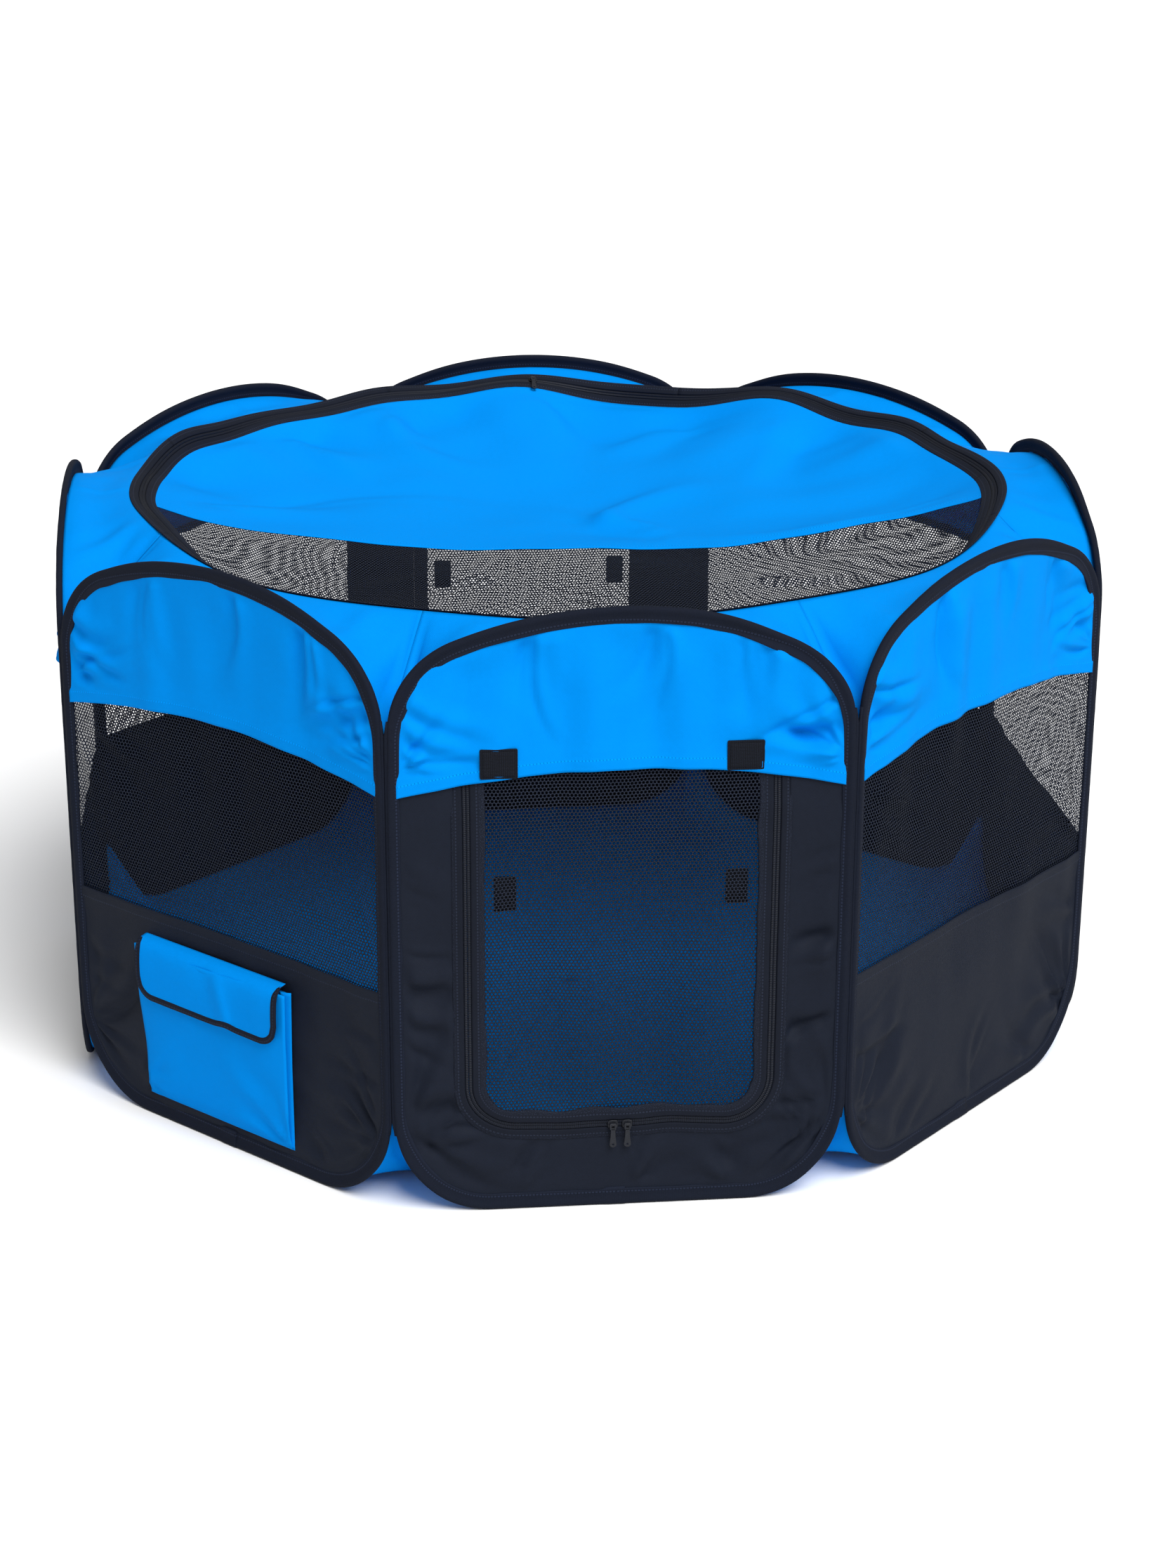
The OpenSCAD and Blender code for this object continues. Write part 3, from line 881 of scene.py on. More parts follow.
class SleevesOperator(bpy.types.Operator):
    """Sews the ribbed sleeve round each of the eight hoops"""

    bl_idname = "playpen.sleeves"
    bl_label = "Sleeves"

    def execute(self, context):
        settings()
        place, inward, length = hoop_line(0.0055)
        x, z = place.T
        for k, side in enumerate(SIDES):
            deep, high, width = sleeve_section(k, x, z, length)
            px = x[:, None] + inward[:, :1] * deep
            pz = np.maximum(z[:, None] + inward[:, 1:] * deep, 0.0002)
            flat = side_by_side(length[:, None], width[:, None] - deep)
            cut = Cut().tube(on_side(k, px, high, pz), flat, "sleeve_tape")
            for end in (-1, 1):
                add_seam_lip(cut, k, end)
            piece = cut.build(f"{side}_hoop_sleeve", f"panel_{side}")
            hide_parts(f"sleeve_{side}")
        return {"FINISHED"}


class HoopsOperator(bpy.types.Operator):
    """Bends the spring-steel hoop inside each sleeve"""

    bl_idname = "playpen.hoops"
    bl_label = "Hoops"

    def execute(self, context):
        settings()
        place, inward, length = hoop_line(0.0055)
        x, z = place.T
        q = np.linspace(0, 2 * math.pi, 9)[:-1]
        for k, side in enumerate(SIDES):
            deep = WIRE_IN + WIRE_R * np.cos(q)[None, :] + crooked(k, length, x, z)[:, None]
            px = x[:, None] + inward[:, :1] * deep
            pz = z[:, None] + inward[:, 1:] * deep
            points = on_side(k, px, WIRE_R * np.sin(q)[None, :], pz)
            cut = Cut().tube(points, side_by_side(length[:, None], WIRE_R * q[None, :]), "spring_wire")
            piece = cut.build(f"{side}_hoop_wire", f"panel_{side}")
            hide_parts(f"hoop_{side}")
        return {"FINISHED"}


# ---------------------------------------------------------------- wall cloth

def panel_grid(k, low, high, columns, rows, folds, hem_up, hem, behind):
    """Grid of a wall cloth between two heights, its flat coordinates, and x and z on the wall."""
    share = np.sin(np.linspace(-0.5, 0.5, columns) * math.pi)
    blend = 0.45 * share + 0.55 * np.linspace(-1, 1, columns)
    x = blend * (HALF - SLEEVE_SIDE_W + SEAM)
    bottom, top = low(x), high(x)
    up = np.linspace(0, 1, rows)[:, None]
    z = bottom[None, :] + up * (top - bottom)[None, :]
    x = np.broadcast_to(x[None, :], z.shape)
    hidden = np.maximum(near_hem(x, z), 1 - smooth((np.abs(z - SKIRT_Z) - 0.010) / 0.022))
    y = slack(k, x, z) + folds(x, z) * (1 - hidden) + behind * hidden
    edge = (z - bottom[None, :]) if hem_up else (top[None, :] - z)
    if hem:
        y = y - 0.0004 * (1 - smooth((edge - hem + 0.0006) / 0.0012))
    return on_side(k, x, y, z), np.stack([x + HALF, edge], -1), x, z


class BandsOperator(bpy.types.Operator):
    """Sews the bright band under each arch"""

    bl_idname = "playpen.bands"
    bl_label = "Bright bands"

    def execute(self, context):
        sizes = settings()
        for k in range(len(SIDES)):
            pulled = random_creases(100 + k, (
                (-0.205, 0.525, -38, 0.13, 0.7), (-0.208, 0.480, -12, 0.11, 0.45),
                (0.205, 0.525, 218, 0.12, 0.7), (0.208, 0.480, 192, 0.10, 0.45),
                (-0.085, 0.592, -78, 0.12, 0.5), (0.02, 0.600, -92, 0.10, 0.35),
                (0.13, 0.580, -112, 0.11, 0.5),
            ))

            def folds(x, z, k=k, pulled=pulled):
                right = (0.212, 0.455, 0.085, 9, 100 + k)
                left = (-0.212, 0.455, 0.085, 8, 110 + k)
                fan = 0.5 * two_fans(x, z, right, left) + 1.4 * creases(x, z, pulled)
                return sizes.fold * fan * off_sleeve(x, z, WALL_FOLD_RISE)

            points, flat, x, z = panel_grid(
                k, band_edge, lambda x: arch_z(x, SLEEVE_SIDE_W, SLEEVE_W) + SEAM,
                150, 60, folds, True, sizes.hem, -0.0009,
            )
            cut = Cut().surface(points, flat, "bright_cloth", sizes.cloth)
            sew_to_wall(cut, k, "bright_band", "upper_band", points, flat)
        return {"FINISHED"}


class WindowsOperator(bpy.types.Operator):
    """Stretches the netting of the six plain walls"""

    bl_idname = "playpen.windows"
    bl_label = "Netting windows"

    def execute(self, context):
        settings()
        for k in PLAIN_SIDES:
            def folds(x, z, k=k):
                right = (0.21, 0.25, 0.16, 10, 130 + k)
                left = (-0.21, 0.42, 0.14, 9, 140 + k)
                return 0.0018 * two_fans(x, z, right, left) * off_sleeve(x, z, 0.02)

            points, flat, x, z = panel_grid(
                k, lambda x: np.full_like(x, SKIRT_Z - UNDERLAP), lambda x: band_edge(x) + UNDERLAP,
                90, 50, folds, True, 0.0, 0.0011,
            )
            cut = Cut().surface(points, flat, "window_net")
            sew_to_wall(cut, k, "window", "window", points, flat)
        return {"FINISHED"}


class SkirtsOperator(bpy.types.Operator):
    """Sews the dark lower band of the six plain walls"""

    bl_idname = "playpen.skirts"
    bl_label = "Dark bands"

    def execute(self, context):
        sizes = settings()
        for k in PLAIN_SIDES:
            pulled = random_creases(150 + k, (
                (0.200, 0.085, 152, 0.12, 0.6), (-0.200, 0.085, 28, 0.12, 0.6),
                (0.207, 0.165, 188, 0.10, 0.4), (-0.207, 0.165, -8, 0.10, 0.4),
                (0.02, 0.024, 72, 0.09, 0.35), (-0.11, 0.024, 65, 0.08, 0.35), (0.12, 0.024, 118, 0.08, 0.35),
            ))

            def folds(x, z, k=k, pulled=pulled):
                right = (0.205, 0.07, 0.12, 9, 150 + k)
                left = (-0.205, 0.08, 0.11, 8, 160 + k)
                fan = 0.35 * two_fans(x, z, right, left) + creases(x, z, pulled)
                return sizes.fold * fan * off_sleeve(x, z, WALL_FOLD_RISE)

            points, flat, x, z = panel_grid(
                k, lambda x: foot_z(x, SLEEVE_SIDE_W, SLEEVE_W) - SEAM, lambda x: np.full_like(x, SKIRT_Z),
                140, 70, folds, False, sizes.hem, -0.0006,
            )
            cut = Cut().surface(points, flat, "dark_cloth", sizes.cloth)
            sew_to_wall(cut, k, "dark_band", "lower_band", points, flat)
        return {"FINISHED"}


# ---------------------------------------------------------------- doors

def door_line(grow, step, lift=0.0):
    """U-shaped line beside the door zip, grown outward: x and z."""
    straight_z = np.linspace(1, 0, max(3, int(0.318 / step)), endpoint=False)
    turn_n = max(4, int(ZIP_R * math.pi / 2 / step))
    turn = np.linspace(0, math.pi / 2, turn_n, endpoint=False)
    across = np.linspace(-1, 1, max(4, int(2 * (ZIP_HALF - ZIP_R) / step)), endpoint=False)
    grow = np.asarray(grow, float)
    half, radius = ZIP_HALF + grow, ZIP_R + grow
    centre_x, centre_z = ZIP_HALF - ZIP_R, ZIP_Z + ZIP_R
    top = band_edge(half) + lift
    left_z = centre_z + straight_z * (top - centre_z)
    xs = [np.full_like(left_z, -half), -centre_x - radius * np.cos(turn), across * centre_x]
    zs = [left_z, centre_z - radius * np.sin(turn), np.full_like(across, ZIP_Z - grow)]
    xs += [centre_x + radius * np.sin(turn), np.full(len(left_z) + 1, half)]
    zs += [centre_z - radius * np.cos(turn), centre_z + np.append(0, straight_z[::-1]) * (top - centre_z)]
    x, z = np.concatenate(xs), np.concatenate(zs)
    return x, z


def zip_length(step):
    """Length along the zip at each of the points of door_line."""
    x, z = door_line(0.0, step)
    return np.concatenate([[0], np.cumsum(np.hypot(np.diff(x), np.diff(z)))])


def zip_wave(x, z, k):
    """How far the sewn zip wanders up or down along its bottom stretch."""
    low = smooth((ZIP_Z + 0.07 - z) / 0.06) * smooth((np.abs(x) - 0.014) / 0.05)
    return low * 0.0022 * np.sin(x / 0.024 + 0.6 * k)


def zip_base(k, x, z):
    """How far the cloth beside the zip stands in or out: flat near the sliders, tucked behind the band."""
    calm = smooth((np.abs(x) + np.maximum(z - ZIP_Z, 0) - 0.012) / 0.05)
    loose, hem = slack(k, x, z), near_hem(x, z)
    return loose * calm * (1 - hem) + loose * hem + 0.0024 * hem


def beside_zip(k, profile, step, lift=0.0):
    """Loft beside the zip from a profile of (grow, y): points and flat coordinates."""
    rows_x, rows_z, rows_y, rows_v = [], [], [], []
    for grow, y in profile:
        x, z = door_line(grow, step, lift)
        rows_x.append(x)
        rows_z.append(z + zip_wave(x, z, k))
        rows_y.append(zip_base(k, x, z) + y)
        rows_v.append(np.full_like(x, abs(grow)))
    x, z, y, v = (np.stack(r) for r in (rows_x, rows_z, rows_y, rows_v))
    along = np.broadcast_to(zip_length(step)[None, :], x.shape)
    return on_side(k, x, y, z), np.stack([along, v], -1)


def door_coil(k, way, pitch):
    """One half of the coil of a door zip, with its turns."""
    step = pitch / 4
    along = zip_length(step)
    swell = 0.5 + 0.5 * np.cos(along * 2 * math.pi / pitch)
    ring = [(0.04, -0.6), (0.8, -1.15), (2.0, -1.45), (3.1, -1.1), (3.5, 0.0), (2.0, 1.3), (0.04, 0.6)]
    xs, ys, zs = [], [], []
    for grow, y in ring:
        x, z = door_line(way * grow * MM, step, ZIP_TOP)
        xs.append(x)
        zs.append(z + zip_wave(x, z, k))
        ys.append(zip_base(k, x, z) + y * MM * (1 - 0.32 * swell))
    points = on_side(k, np.stack(xs, -1), np.stack(ys, -1), np.stack(zs, -1))
    if way > 0:
        points = points[:, ::-1]
    return points, side_by_side(along[:, None], np.arange(len(ring))[None, :] * 0.0008)


def way_to_sleeve(x, z, way_x, way_z):
    """How far each point can go its way before it is under the sleeve, found by halving."""
    near, far = np.zeros(len(x)), np.full(len(x), 0.35)
    for _ in range(40):
        middle = (far + near) / 2
        room = inside(x + way_x * middle, z + way_z * middle, SLEEVE_SIDE_W - SEAM, SLEEVE_W - SEAM)
        near, far = np.where(room > 0, middle, near), np.where(room > 0, far, middle)
    return near


def doorway_cloth(k, fold):
    """Dark cloth from the zip of door k out to its sleeve: points, and x and z on the wall."""
    inner_x, inner_z = door_line(0.0118, 0.0036, ZIP_TOP)
    middle_x, middle_z = door_line(-ZIP_R * 0.98, 0.0036, ZIP_TOP)
    way_x, way_z = inner_x - middle_x, inner_z - middle_z
    size = np.hypot(way_x, way_z)
    way_x, way_z = way_x / size, way_z / size
    way_z = np.where(inner_z > ZIP_Z + ZIP_R, 0, way_z)
    reach = way_to_sleeve(inner_x, inner_z, way_x, way_z)
    share = np.linspace(0, 1, 30)[:, None]
    x = inner_x + way_x * reach * share
    z = inner_z + way_z * reach * share
    z = z + zip_wave(inner_x, inner_z, k) * (1 - share)
    pulled = random_creases(170 + k, (
        (-0.207, 0.27, -32, 0.075, 0.7), (-0.206, 0.19, -38, 0.085, 0.8), (-0.198, 0.10, -22, 0.09, 0.7),
        (0.207, 0.27, 212, 0.075, 0.7), (0.206, 0.19, 218, 0.085, 0.8), (0.198, 0.10, 202, 0.09, 0.7),
        (0.03, 0.022, 60, 0.07, 0.6), (-0.09, 0.024, 78, 0.06, 0.5), (0.11, 0.024, 105, 0.06, 0.5),
        (-0.207, 0.37, -50, 0.06, 0.4), (0.207, 0.37, 230, 0.06, 0.4),
    ))
    right = (0.204, 0.085, 0.13, 10, 170 + k)
    left = (-0.204, 0.085, 0.13, 9, 180 + k)
    fan = 0.5 * two_fans(x, z, right, left) + 1.1 * creases(x, z, pulled)
    ease = off_sleeve(x, z, WALL_FOLD_RISE) * smooth(share / 0.16)
    hem = near_hem(x, z)
    y = zip_base(k, x, z) - 0.0012 * hem + fold * fan * ease * (1 - hem)
    return on_side(k, x, y, z), x, z


class DoorwaysOperator(bpy.types.Operator):
    """Sews the dark cloth round both doorways, with the fixed half of each zip"""

    bl_idname = "playpen.doorways"
    bl_label = "Doorways"

    def execute(self, context):
        sizes = settings()
        tape = metres([
            (14.0, -0.5), (13.6, -1.05), (10.0, -1.0), (9.0, -1.15),
            (5.2, -1.5), (4.3, -1.45), (4.0, -0.5), (3.0, 0.3),
        ])
        for k in DOOR_SIDES:
            cloth, x, z = doorway_cloth(k, sizes.fold)
            flat = np.stack([x + HALF, z + 0.05], -1)
            cut = Cut().surface(cloth, flat, "dark_cloth", sizes.cloth)
            cut.surface(*beside_zip(k, tape, DOOR_STEP, ZIP_TOP), "zip_tape", TAPE_T)
            cut.tube(*door_coil(k, 1, sizes.coil), "zip_coil")
            size = np.stack([x, z], -1)
            sew_to_wall(cut, k, "doorway", "door_surround", cloth, size)
        return {"FINISHED"}


def door_net(k):
    """Netting of door flap k: points and flat coordinates."""
    lap = TAPE_W - 0.004
    half, radius, low = ZIP_HALF - lap, ZIP_R - lap, ZIP_Z + lap
    x = np.linspace(-1, 1, 56) * half
    past = np.maximum(np.abs(x) - (half - radius), 0)
    bottom = low + radius - np.sqrt(np.maximum(radius**2 - past**2, 0))
    top = band_edge(x) + 0.006
    z = bottom + np.linspace(0, 1, 66)[:, None] * (top - bottom)
    x = np.broadcast_to(x, z.shape)
    rim = smooth(np.minimum(half - np.abs(x), z - bottom) / 0.03) * smooth((top - z) / 0.03)
    hang = 0.0034 * np.sin(x / 0.017 + 1.3 * drift(z / 0.12, 0.5, 190 + k)) * smooth((0.36 - z) / 0.2)
    hang = hang + 0.0030 * drift(x / 0.05, z / 0.11, 195 + k)
    y = slack(k, x, z) + hang * rim + 0.0012 * near_hem(x, z)
    return on_side(k, x, y, z), np.stack([x + HALF, z - ZIP_Z], -1)


def door_edge_tape(k):
    """Zip tape round door flap k, with its ragged inner edge: points and flat coordinates."""
    tape = metres([
        (-3.0, 0.3), (-3.8, -0.6), (-4.2, -1.45), (-5.2, -1.55), (-10.0, -1.35),
        (-13.5, -1.2), (-15.0, -1.5), (-16.2, -1.1), (-16.6, 0.2),
    ])
    along = zip_length(DOOR_STEP)
    frayed = 0.0016 * drift(along / 0.030, 0.5, 200 + k) + 0.0007 * drift(along / 0.007, 0.5, 205 + k)
    rows, flats = [], []
    for grow, y in tape:
        x, z = door_line(grow, DOOR_STEP, ZIP_TOP)
        inner_x, inner_z = door_line(grow - MM, DOOR_STEP, ZIP_TOP)
        ragged = smooth((-grow - 0.010) / 0.004) * frayed
        wave = zip_wave(x, z, k)
        x, z = x + (inner_x - x) / MM * ragged, z + (inner_z - z) / MM * ragged + wave
        rows.append(on_side(k, x, zip_base(k, x, z) + y, z))
        flats.append(np.stack([along, np.full_like(along, -grow)], -1))
    return np.stack(rows), np.stack(flats)


class DoorFlapsOperator(bpy.types.Operator):
    """Sews both netting door flaps, with the moving half of each zip"""

    bl_idname = "playpen.door_flaps"
    bl_label = "Door flaps"

    def execute(self, context):
        sizes = settings()
        for k in DOOR_SIDES:
            side = SIDES[k]
            hinge = [plain(on_side(k, 0, -0.001, z)) for z in (0.4505, 0.424)]
            points, flat = door_net(k)
            net = Cut().surface(points, flat, "window_net").build(f"{side}_door_net", None)
            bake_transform(net)
            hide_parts(f"door_mesh_{side}")
            say_sheet(points, flat)

            cut = Cut().surface(*door_edge_tape(k), "zip_tape", TAPE_T)
            cut.tube(*door_coil(k, -1, sizes.coil), "zip_coil")
            edge = cut.build(f"{side}_door_edge", None)
            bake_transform(edge)
            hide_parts(f"door_tape_{side}")
        return {"FINISHED"}


# ---------------------------------------------------------------- hook pads

def pad_rings(width, height, corner, levels):
    """Rings of a rounded patch: each level is (inset, y)."""
    rings = []
    for inset, y in levels:
        r = max(corner - inset, 0.0004)
        x, z = width / 2 - inset - r, height / 2 - inset - r
        ring = []
        for quarter, (sx, sz) in enumerate(((1, 1), (-1, 1), (-1, -1), (1, -1))):
            q = np.linspace(0, math.pi / 2, 7) + quarter * math.pi / 2
            ring.append(np.stack([sx * x + r * np.cos(q), np.full(7, y), sz * z + r * np.sin(q)], -1))
        rings.append(np.concatenate(ring))
    return np.stack(rings)


def hook_pad(k, place, base, size, way):
    """A hook pad with a sewn border, on a wall or a flap of panel k, facing out or (way 1) in."""
    levels = metres([
        (0, 0), (0, 1.0), (0.35, 1.35), (1.7, 1.35), (2.1, 1.0), (2.5, 1.35), (2.9, 1.8), (5.0, 1.9),
    ])
    rings = pad_rings(*size, PAD_CORNER, levels)
    x, z = rings[..., 0] + place[0], rings[..., 2] + place[1]
    lift = 0.0003 * drift(x / 0.008, z / 0.008, 210 + k)
    y = base + way * (rings[..., 1] + lift * (rings[..., 1] > MM))
    points = on_side(k, x, y, z)
    if way > 0:
        points = points[:, ::-1]
    return Cut().tube(points, np.stack([x - place[0], z - place[1]], -1), "hook_tape")


class PadsOperator(bpy.types.Operator):
    """Sews the hook pads on the door flaps and on the band above the front door"""

    bl_idname = "playpen.pads"
    bl_label = "Hook pads"

    def execute(self, context):
        settings()
        for word, sign in (("left", -1), ("right", 1)):
            place = (sign * BAND_PAD_X, BAND_PAD_Z)
            base = -0.0009 + float(slack(0, *(np.array(v) for v in place)))
            cut = hook_pad(0, place, base, (BAND_PAD_W, BAND_PAD_H), -1)
            pad = cut.build(f"front_band_pad_{word}", "panel_front")
            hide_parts("band_pads_front")
            lay_flat(pad, 0, -0.001)
            for k in DOOR_SIDES:
                side, place = SIDES[k], (sign * FLAP_PAD_X, FLAP_PAD_Z)
                cut = hook_pad(k, place, 0.0030, (FLAP_PAD_W, FLAP_PAD_H), 1)
                pad = cut.build(f"{side}_flap_pad_{word}", f"door_{side}")
                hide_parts(f"door_pads_{side}")
        return {"FINISHED"}


# ---------------------------------------------------------------- zip sliders

def plate(outline, holes, low, high, rim):
    """Points and faces of a flat metal part with softened edges, from its outline and holes."""
    curve = bpy.data.curves.new("part", "CURVE")
    curve.dimensions, curve.fill_mode = "2D", "BOTH"
    curve.extrude, curve.bevel_depth, curve.bevel_resolution = (high - low) / 2 - rim, rim, 1
    for line in [outline, *holes]:
        spline = curve.splines.new("POLY")
        spline.points.add(len(line) - 1)
        spline.points.foreach_set("co", np.array([(x, y, 0, 1) for x, y in line], np.float32).ravel())
        spline.use_cyclic_u = True
    part = bpy.data.objects.new("part", curve)
    bpy.context.scene.collection.objects.link(part)
    bpy.context.view_layer.update()
    mesh = bpy.data.meshes.new_from_object(part.evaluated_get(bpy.context.evaluated_depsgraph_get()))
    points = np.array([v.co for v in mesh.vertices], float)
    points[:, 2] += (low + high) / 2
    faces = [list(p.vertices) for p in mesh.polygons]
    bpy.data.objects.remove(part)
    bpy.data.curves.remove(curve)
    bpy.data.meshes.remove(mesh)
    return points, faces


def round_line(corners, radius, steps=5):
    """A closed outline with its corners rounded."""
    line, count = [], len(corners)
    for i in range(count):
        before, here, after = (np.array(corners[(i + d) % count], float) for d in (-1, 0, 1))
        a, b = before - here, after - here
        cut = min(radius, np.linalg.norm(a) * 0.45, np.linalg.norm(b) * 0.45)
        start, end = here + a / np.linalg.norm(a) * cut, here + b / np.linalg.norm(b) * cut
        for t in np.linspace(0, 1, steps):
            line.append(tuple((1 - t) ** 2 * start + 2 * t * (1 - t) * here + t**2 * end))
    return line


def slider_parts():
    """Parts of a zip slider, x along the zip, y across it and z out of the wall."""
    body = metres(round_line([
        (-4.4, -3.2), (-1.5, -3.9), (3.6, -3.7), (4.5, -2.4),
        (4.5, 2.4), (3.6, 3.7), (-1.5, 3.9), (-4.4, 3.2),
    ], 1.2))
    front = plate(body, [], 0.00185, 0.00320, 0.0003)
    back = plate(body, [], -0.00320, -0.00185, 0.0003)
    wedge = metres([(-1.5, -0.25), (1.5, -0.25), (1.5, 0.25), (-1.5, 0.25)])
    wedge = plate(wedge, [], -0.0019, 0.0019, 0.00005)
    q = np.linspace(0, math.pi, 15)
    along = -3.4 * np.cos(q) * np.minimum(1, 0.82 + 0.3 * np.abs(np.cos(q)))
    path = np.stack([along, 2.9 + 2.95 * np.sin(q) ** 0.55], -1) * MM
    way = np.gradient(path, axis=0)
    way /= np.linalg.norm(way, axis=1, keepdims=True)
    ring = np.linspace(0, 2 * math.pi, 9)[:-1]
    thick = 0.00062 * np.cos(ring)
    loop = np.stack([
        path[:, None, 0] + thick * -way[:, None, 1],
        np.broadcast_to(0.00072 * np.sin(ring)[None, :], (15, 8)),
        path[:, None, 1] + thick * way[:, None, 0],
    ], -1)
    return front, back, wedge, loop


def pull_parts():
    """Parts of a pull tab that hangs from the slider's loop, y up and z out of the wall."""
    eye = metres(round_line([(-2.9, 1.6), (2.9, 1.6), (2.7, -4.6), (-2.7, -4.6)], 1.0))
    eye_hole = metres(round_line([(-1.8, 0.75), (1.8, 0.75), (1.7, -3.4), (-1.7, -3.4)], 0.6))
    loop = plate(eye, [eye_hole], -0.0007, 0.0006, 0.00035)
    q = np.linspace(math.radians(20), math.radians(-200), 21)
    round_end = [(3.15 * math.cos(a), -19.9 + 3.15 * math.sin(a)) for a in q]
    tab = [(-1.7, -3.9), (1.7, -3.9), (2.2, -12.0), (2.9, -18.2), *round_end, (-2.9, -18.2), (-2.2, -12.0)]
    q = np.linspace(0, 2 * math.pi, 15)[:-1]
    hole = [(1.35 * math.cos(a), -20.2 + 1.35 * math.sin(a)) for a in q]
    blade = plate(metres(tab), [metres(hole)], -0.0006, 0.0006, 0.0003)
    return loop, blade


def add_metal(cut, part, place):
    """Adds a metal part, with place taking its points to where they are on the pen."""
    if isinstance(part, tuple):
        points, faces = part
        cut.add(place(points), faces, points[:, :2], "slider_metal")
    else:
        cut.tube(place(part), part[..., :2], "slider_metal")


class SlidersOperator(bpy.types.Operator):
    """Makes the zip sliders and their pull tabs"""

    bl_idname = "playpen.sliders"
    bl_label = "Zip sliders"

    def execute(self, context):
        settings()
        body, tab = slider_parts(), pull_parts()
        for k in DOOR_SIDES:
            side = SIDES[k]
            for word, sign in (("left", -1), ("right", 1)):
                def on_zip(p, out=0.0, k=k, sign=sign):
                    p = np.asarray(p, float)
                    return on_side(k, sign * (SLIDER_X - p[..., 0]), -(p[..., 2] + out), ZIP_Z + p[..., 1])

                cut = Cut()
                for part in body:
                    add_metal(cut, part, on_zip)
                pull = cut if k else Cut()
                for part in tab:
                    add_metal(pull, part, lambda p: on_zip(p, BAR_Y))
                piece = cut.build(f"{side}_slider_{word}", f"slider_{side}_{word}")
                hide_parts(f"slider_{side}_{word}")
                if not k:
                    piece = pull.build(f"{side}_pull_{word}", f"pull_{side}_{word}")
                    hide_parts(f"pull_{side}_{word}")
        cut = Cut()

        def on_roof(p, out=0.0):
            p = np.asarray(p, float)
            return ring_points(p[..., 1], p[..., 2] + out, math.pi / 2 - p[..., 0] / ROOF_R)

        for part in body:
            add_metal(cut, part, on_roof)
        for part in tab:
            add_metal(cut, part, lambda p: on_roof(p, BAR_Y))
        piece = cut.build("roof_zip_slider", "roof_slider")
        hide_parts("roof_slider")
        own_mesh(piece)
        return {"FINISHED"}


# ---------------------------------------------------------------- roof

def ring_wander(q):
    """How the sewn roof zip strays in radius and height, and how far it is rolled over, round the pen."""
    front = smooth((-np.sin(q) - 0.20) / 0.55)
    back = smooth((np.sin(q) + 0.15) / 0.5)
    wave = 0.6 * np.cos(7 * q + 0.8) + 0.5 * np.cos(11 * q + 2.1) + 0.3 * np.cos(17 * q + 4.0)
    grow = 0.0016 * np.cos(8 * q) + 0.0010 * np.sin(3 * q + 1.0)
    grow = grow + 0.0055 * back * (0.6 * np.cos(6 * q + 1.9) + 0.5 * np.cos(13 * q + 0.3))
    lift = 0.0012 * np.cos(8 * q + math.pi) + 0.0062 * back * wave - 0.013 * front
    roll = 18 + 40 * front + 12 * back + 22 * back * (0.6 * np.cos(9 * q + 1.0) + 0.5 * np.cos(5 * q))
    return grow, lift, np.radians(roll + 5 * np.cos(4 * q + 1))


def ring_points(out, up, q):
    """Points beside the roof zip: outward from its coil, above its tape, at an angle round the pen."""
    grow, lift, roll = ring_wander(q)
    seam = 0.0125
    r = ROOF_R + grow + seam + (out - seam) * np.cos(roll) - up * np.sin(roll)
    z = ROOF_Z + lift + (out - seam) * np.sin(roll) + up * np.cos(roll)
    return np.stack([r * np.cos(q), r * np.sin(q), z], -1)


def ring_strip(profile, q):
    """Loft beside the roof zip from a profile of (distance outward, height)."""
    rows = np.stack([ring_points(out, up, q) for out, up in profile])
    flat = np.stack([
        np.stack([q * ROOF_R, np.full_like(q, abs(out))], -1) for out, up in profile
    ])
    return rows, flat


def ring_coil(way, q, pitch):
    """One half of the roof zip's coil, with its turns."""
    swell = 0.5 + 0.5 * np.cos(q * ROOF_R * 2 * math.pi / pitch)
    rings = []
    section = ((0.04, 0.6), (0.8, 1.15), (2.0, 1.45), (3.1, 1.1), (3.5, 0.0), (2.0, -1.3), (0.04, -0.6))
    for out, up in section:
        rings.append(ring_points(way * out * MM, up * MM * (1 - 0.32 * swell), q))
    points = np.stack(rings, 1)
    if way < 0:
        points = points[:, ::-1]
    return points, side_by_side((q * ROOF_R)[:, None], np.arange(7)[None, :] * 0.0008)


def bunched(share, even):
    """Places from -1 to 1 moved towards both ends, as far as even is below 1."""
    size = np.abs(share)
    return np.sign(share) * (even * size + (1 - even) * np.sin(size * math.pi / 2))


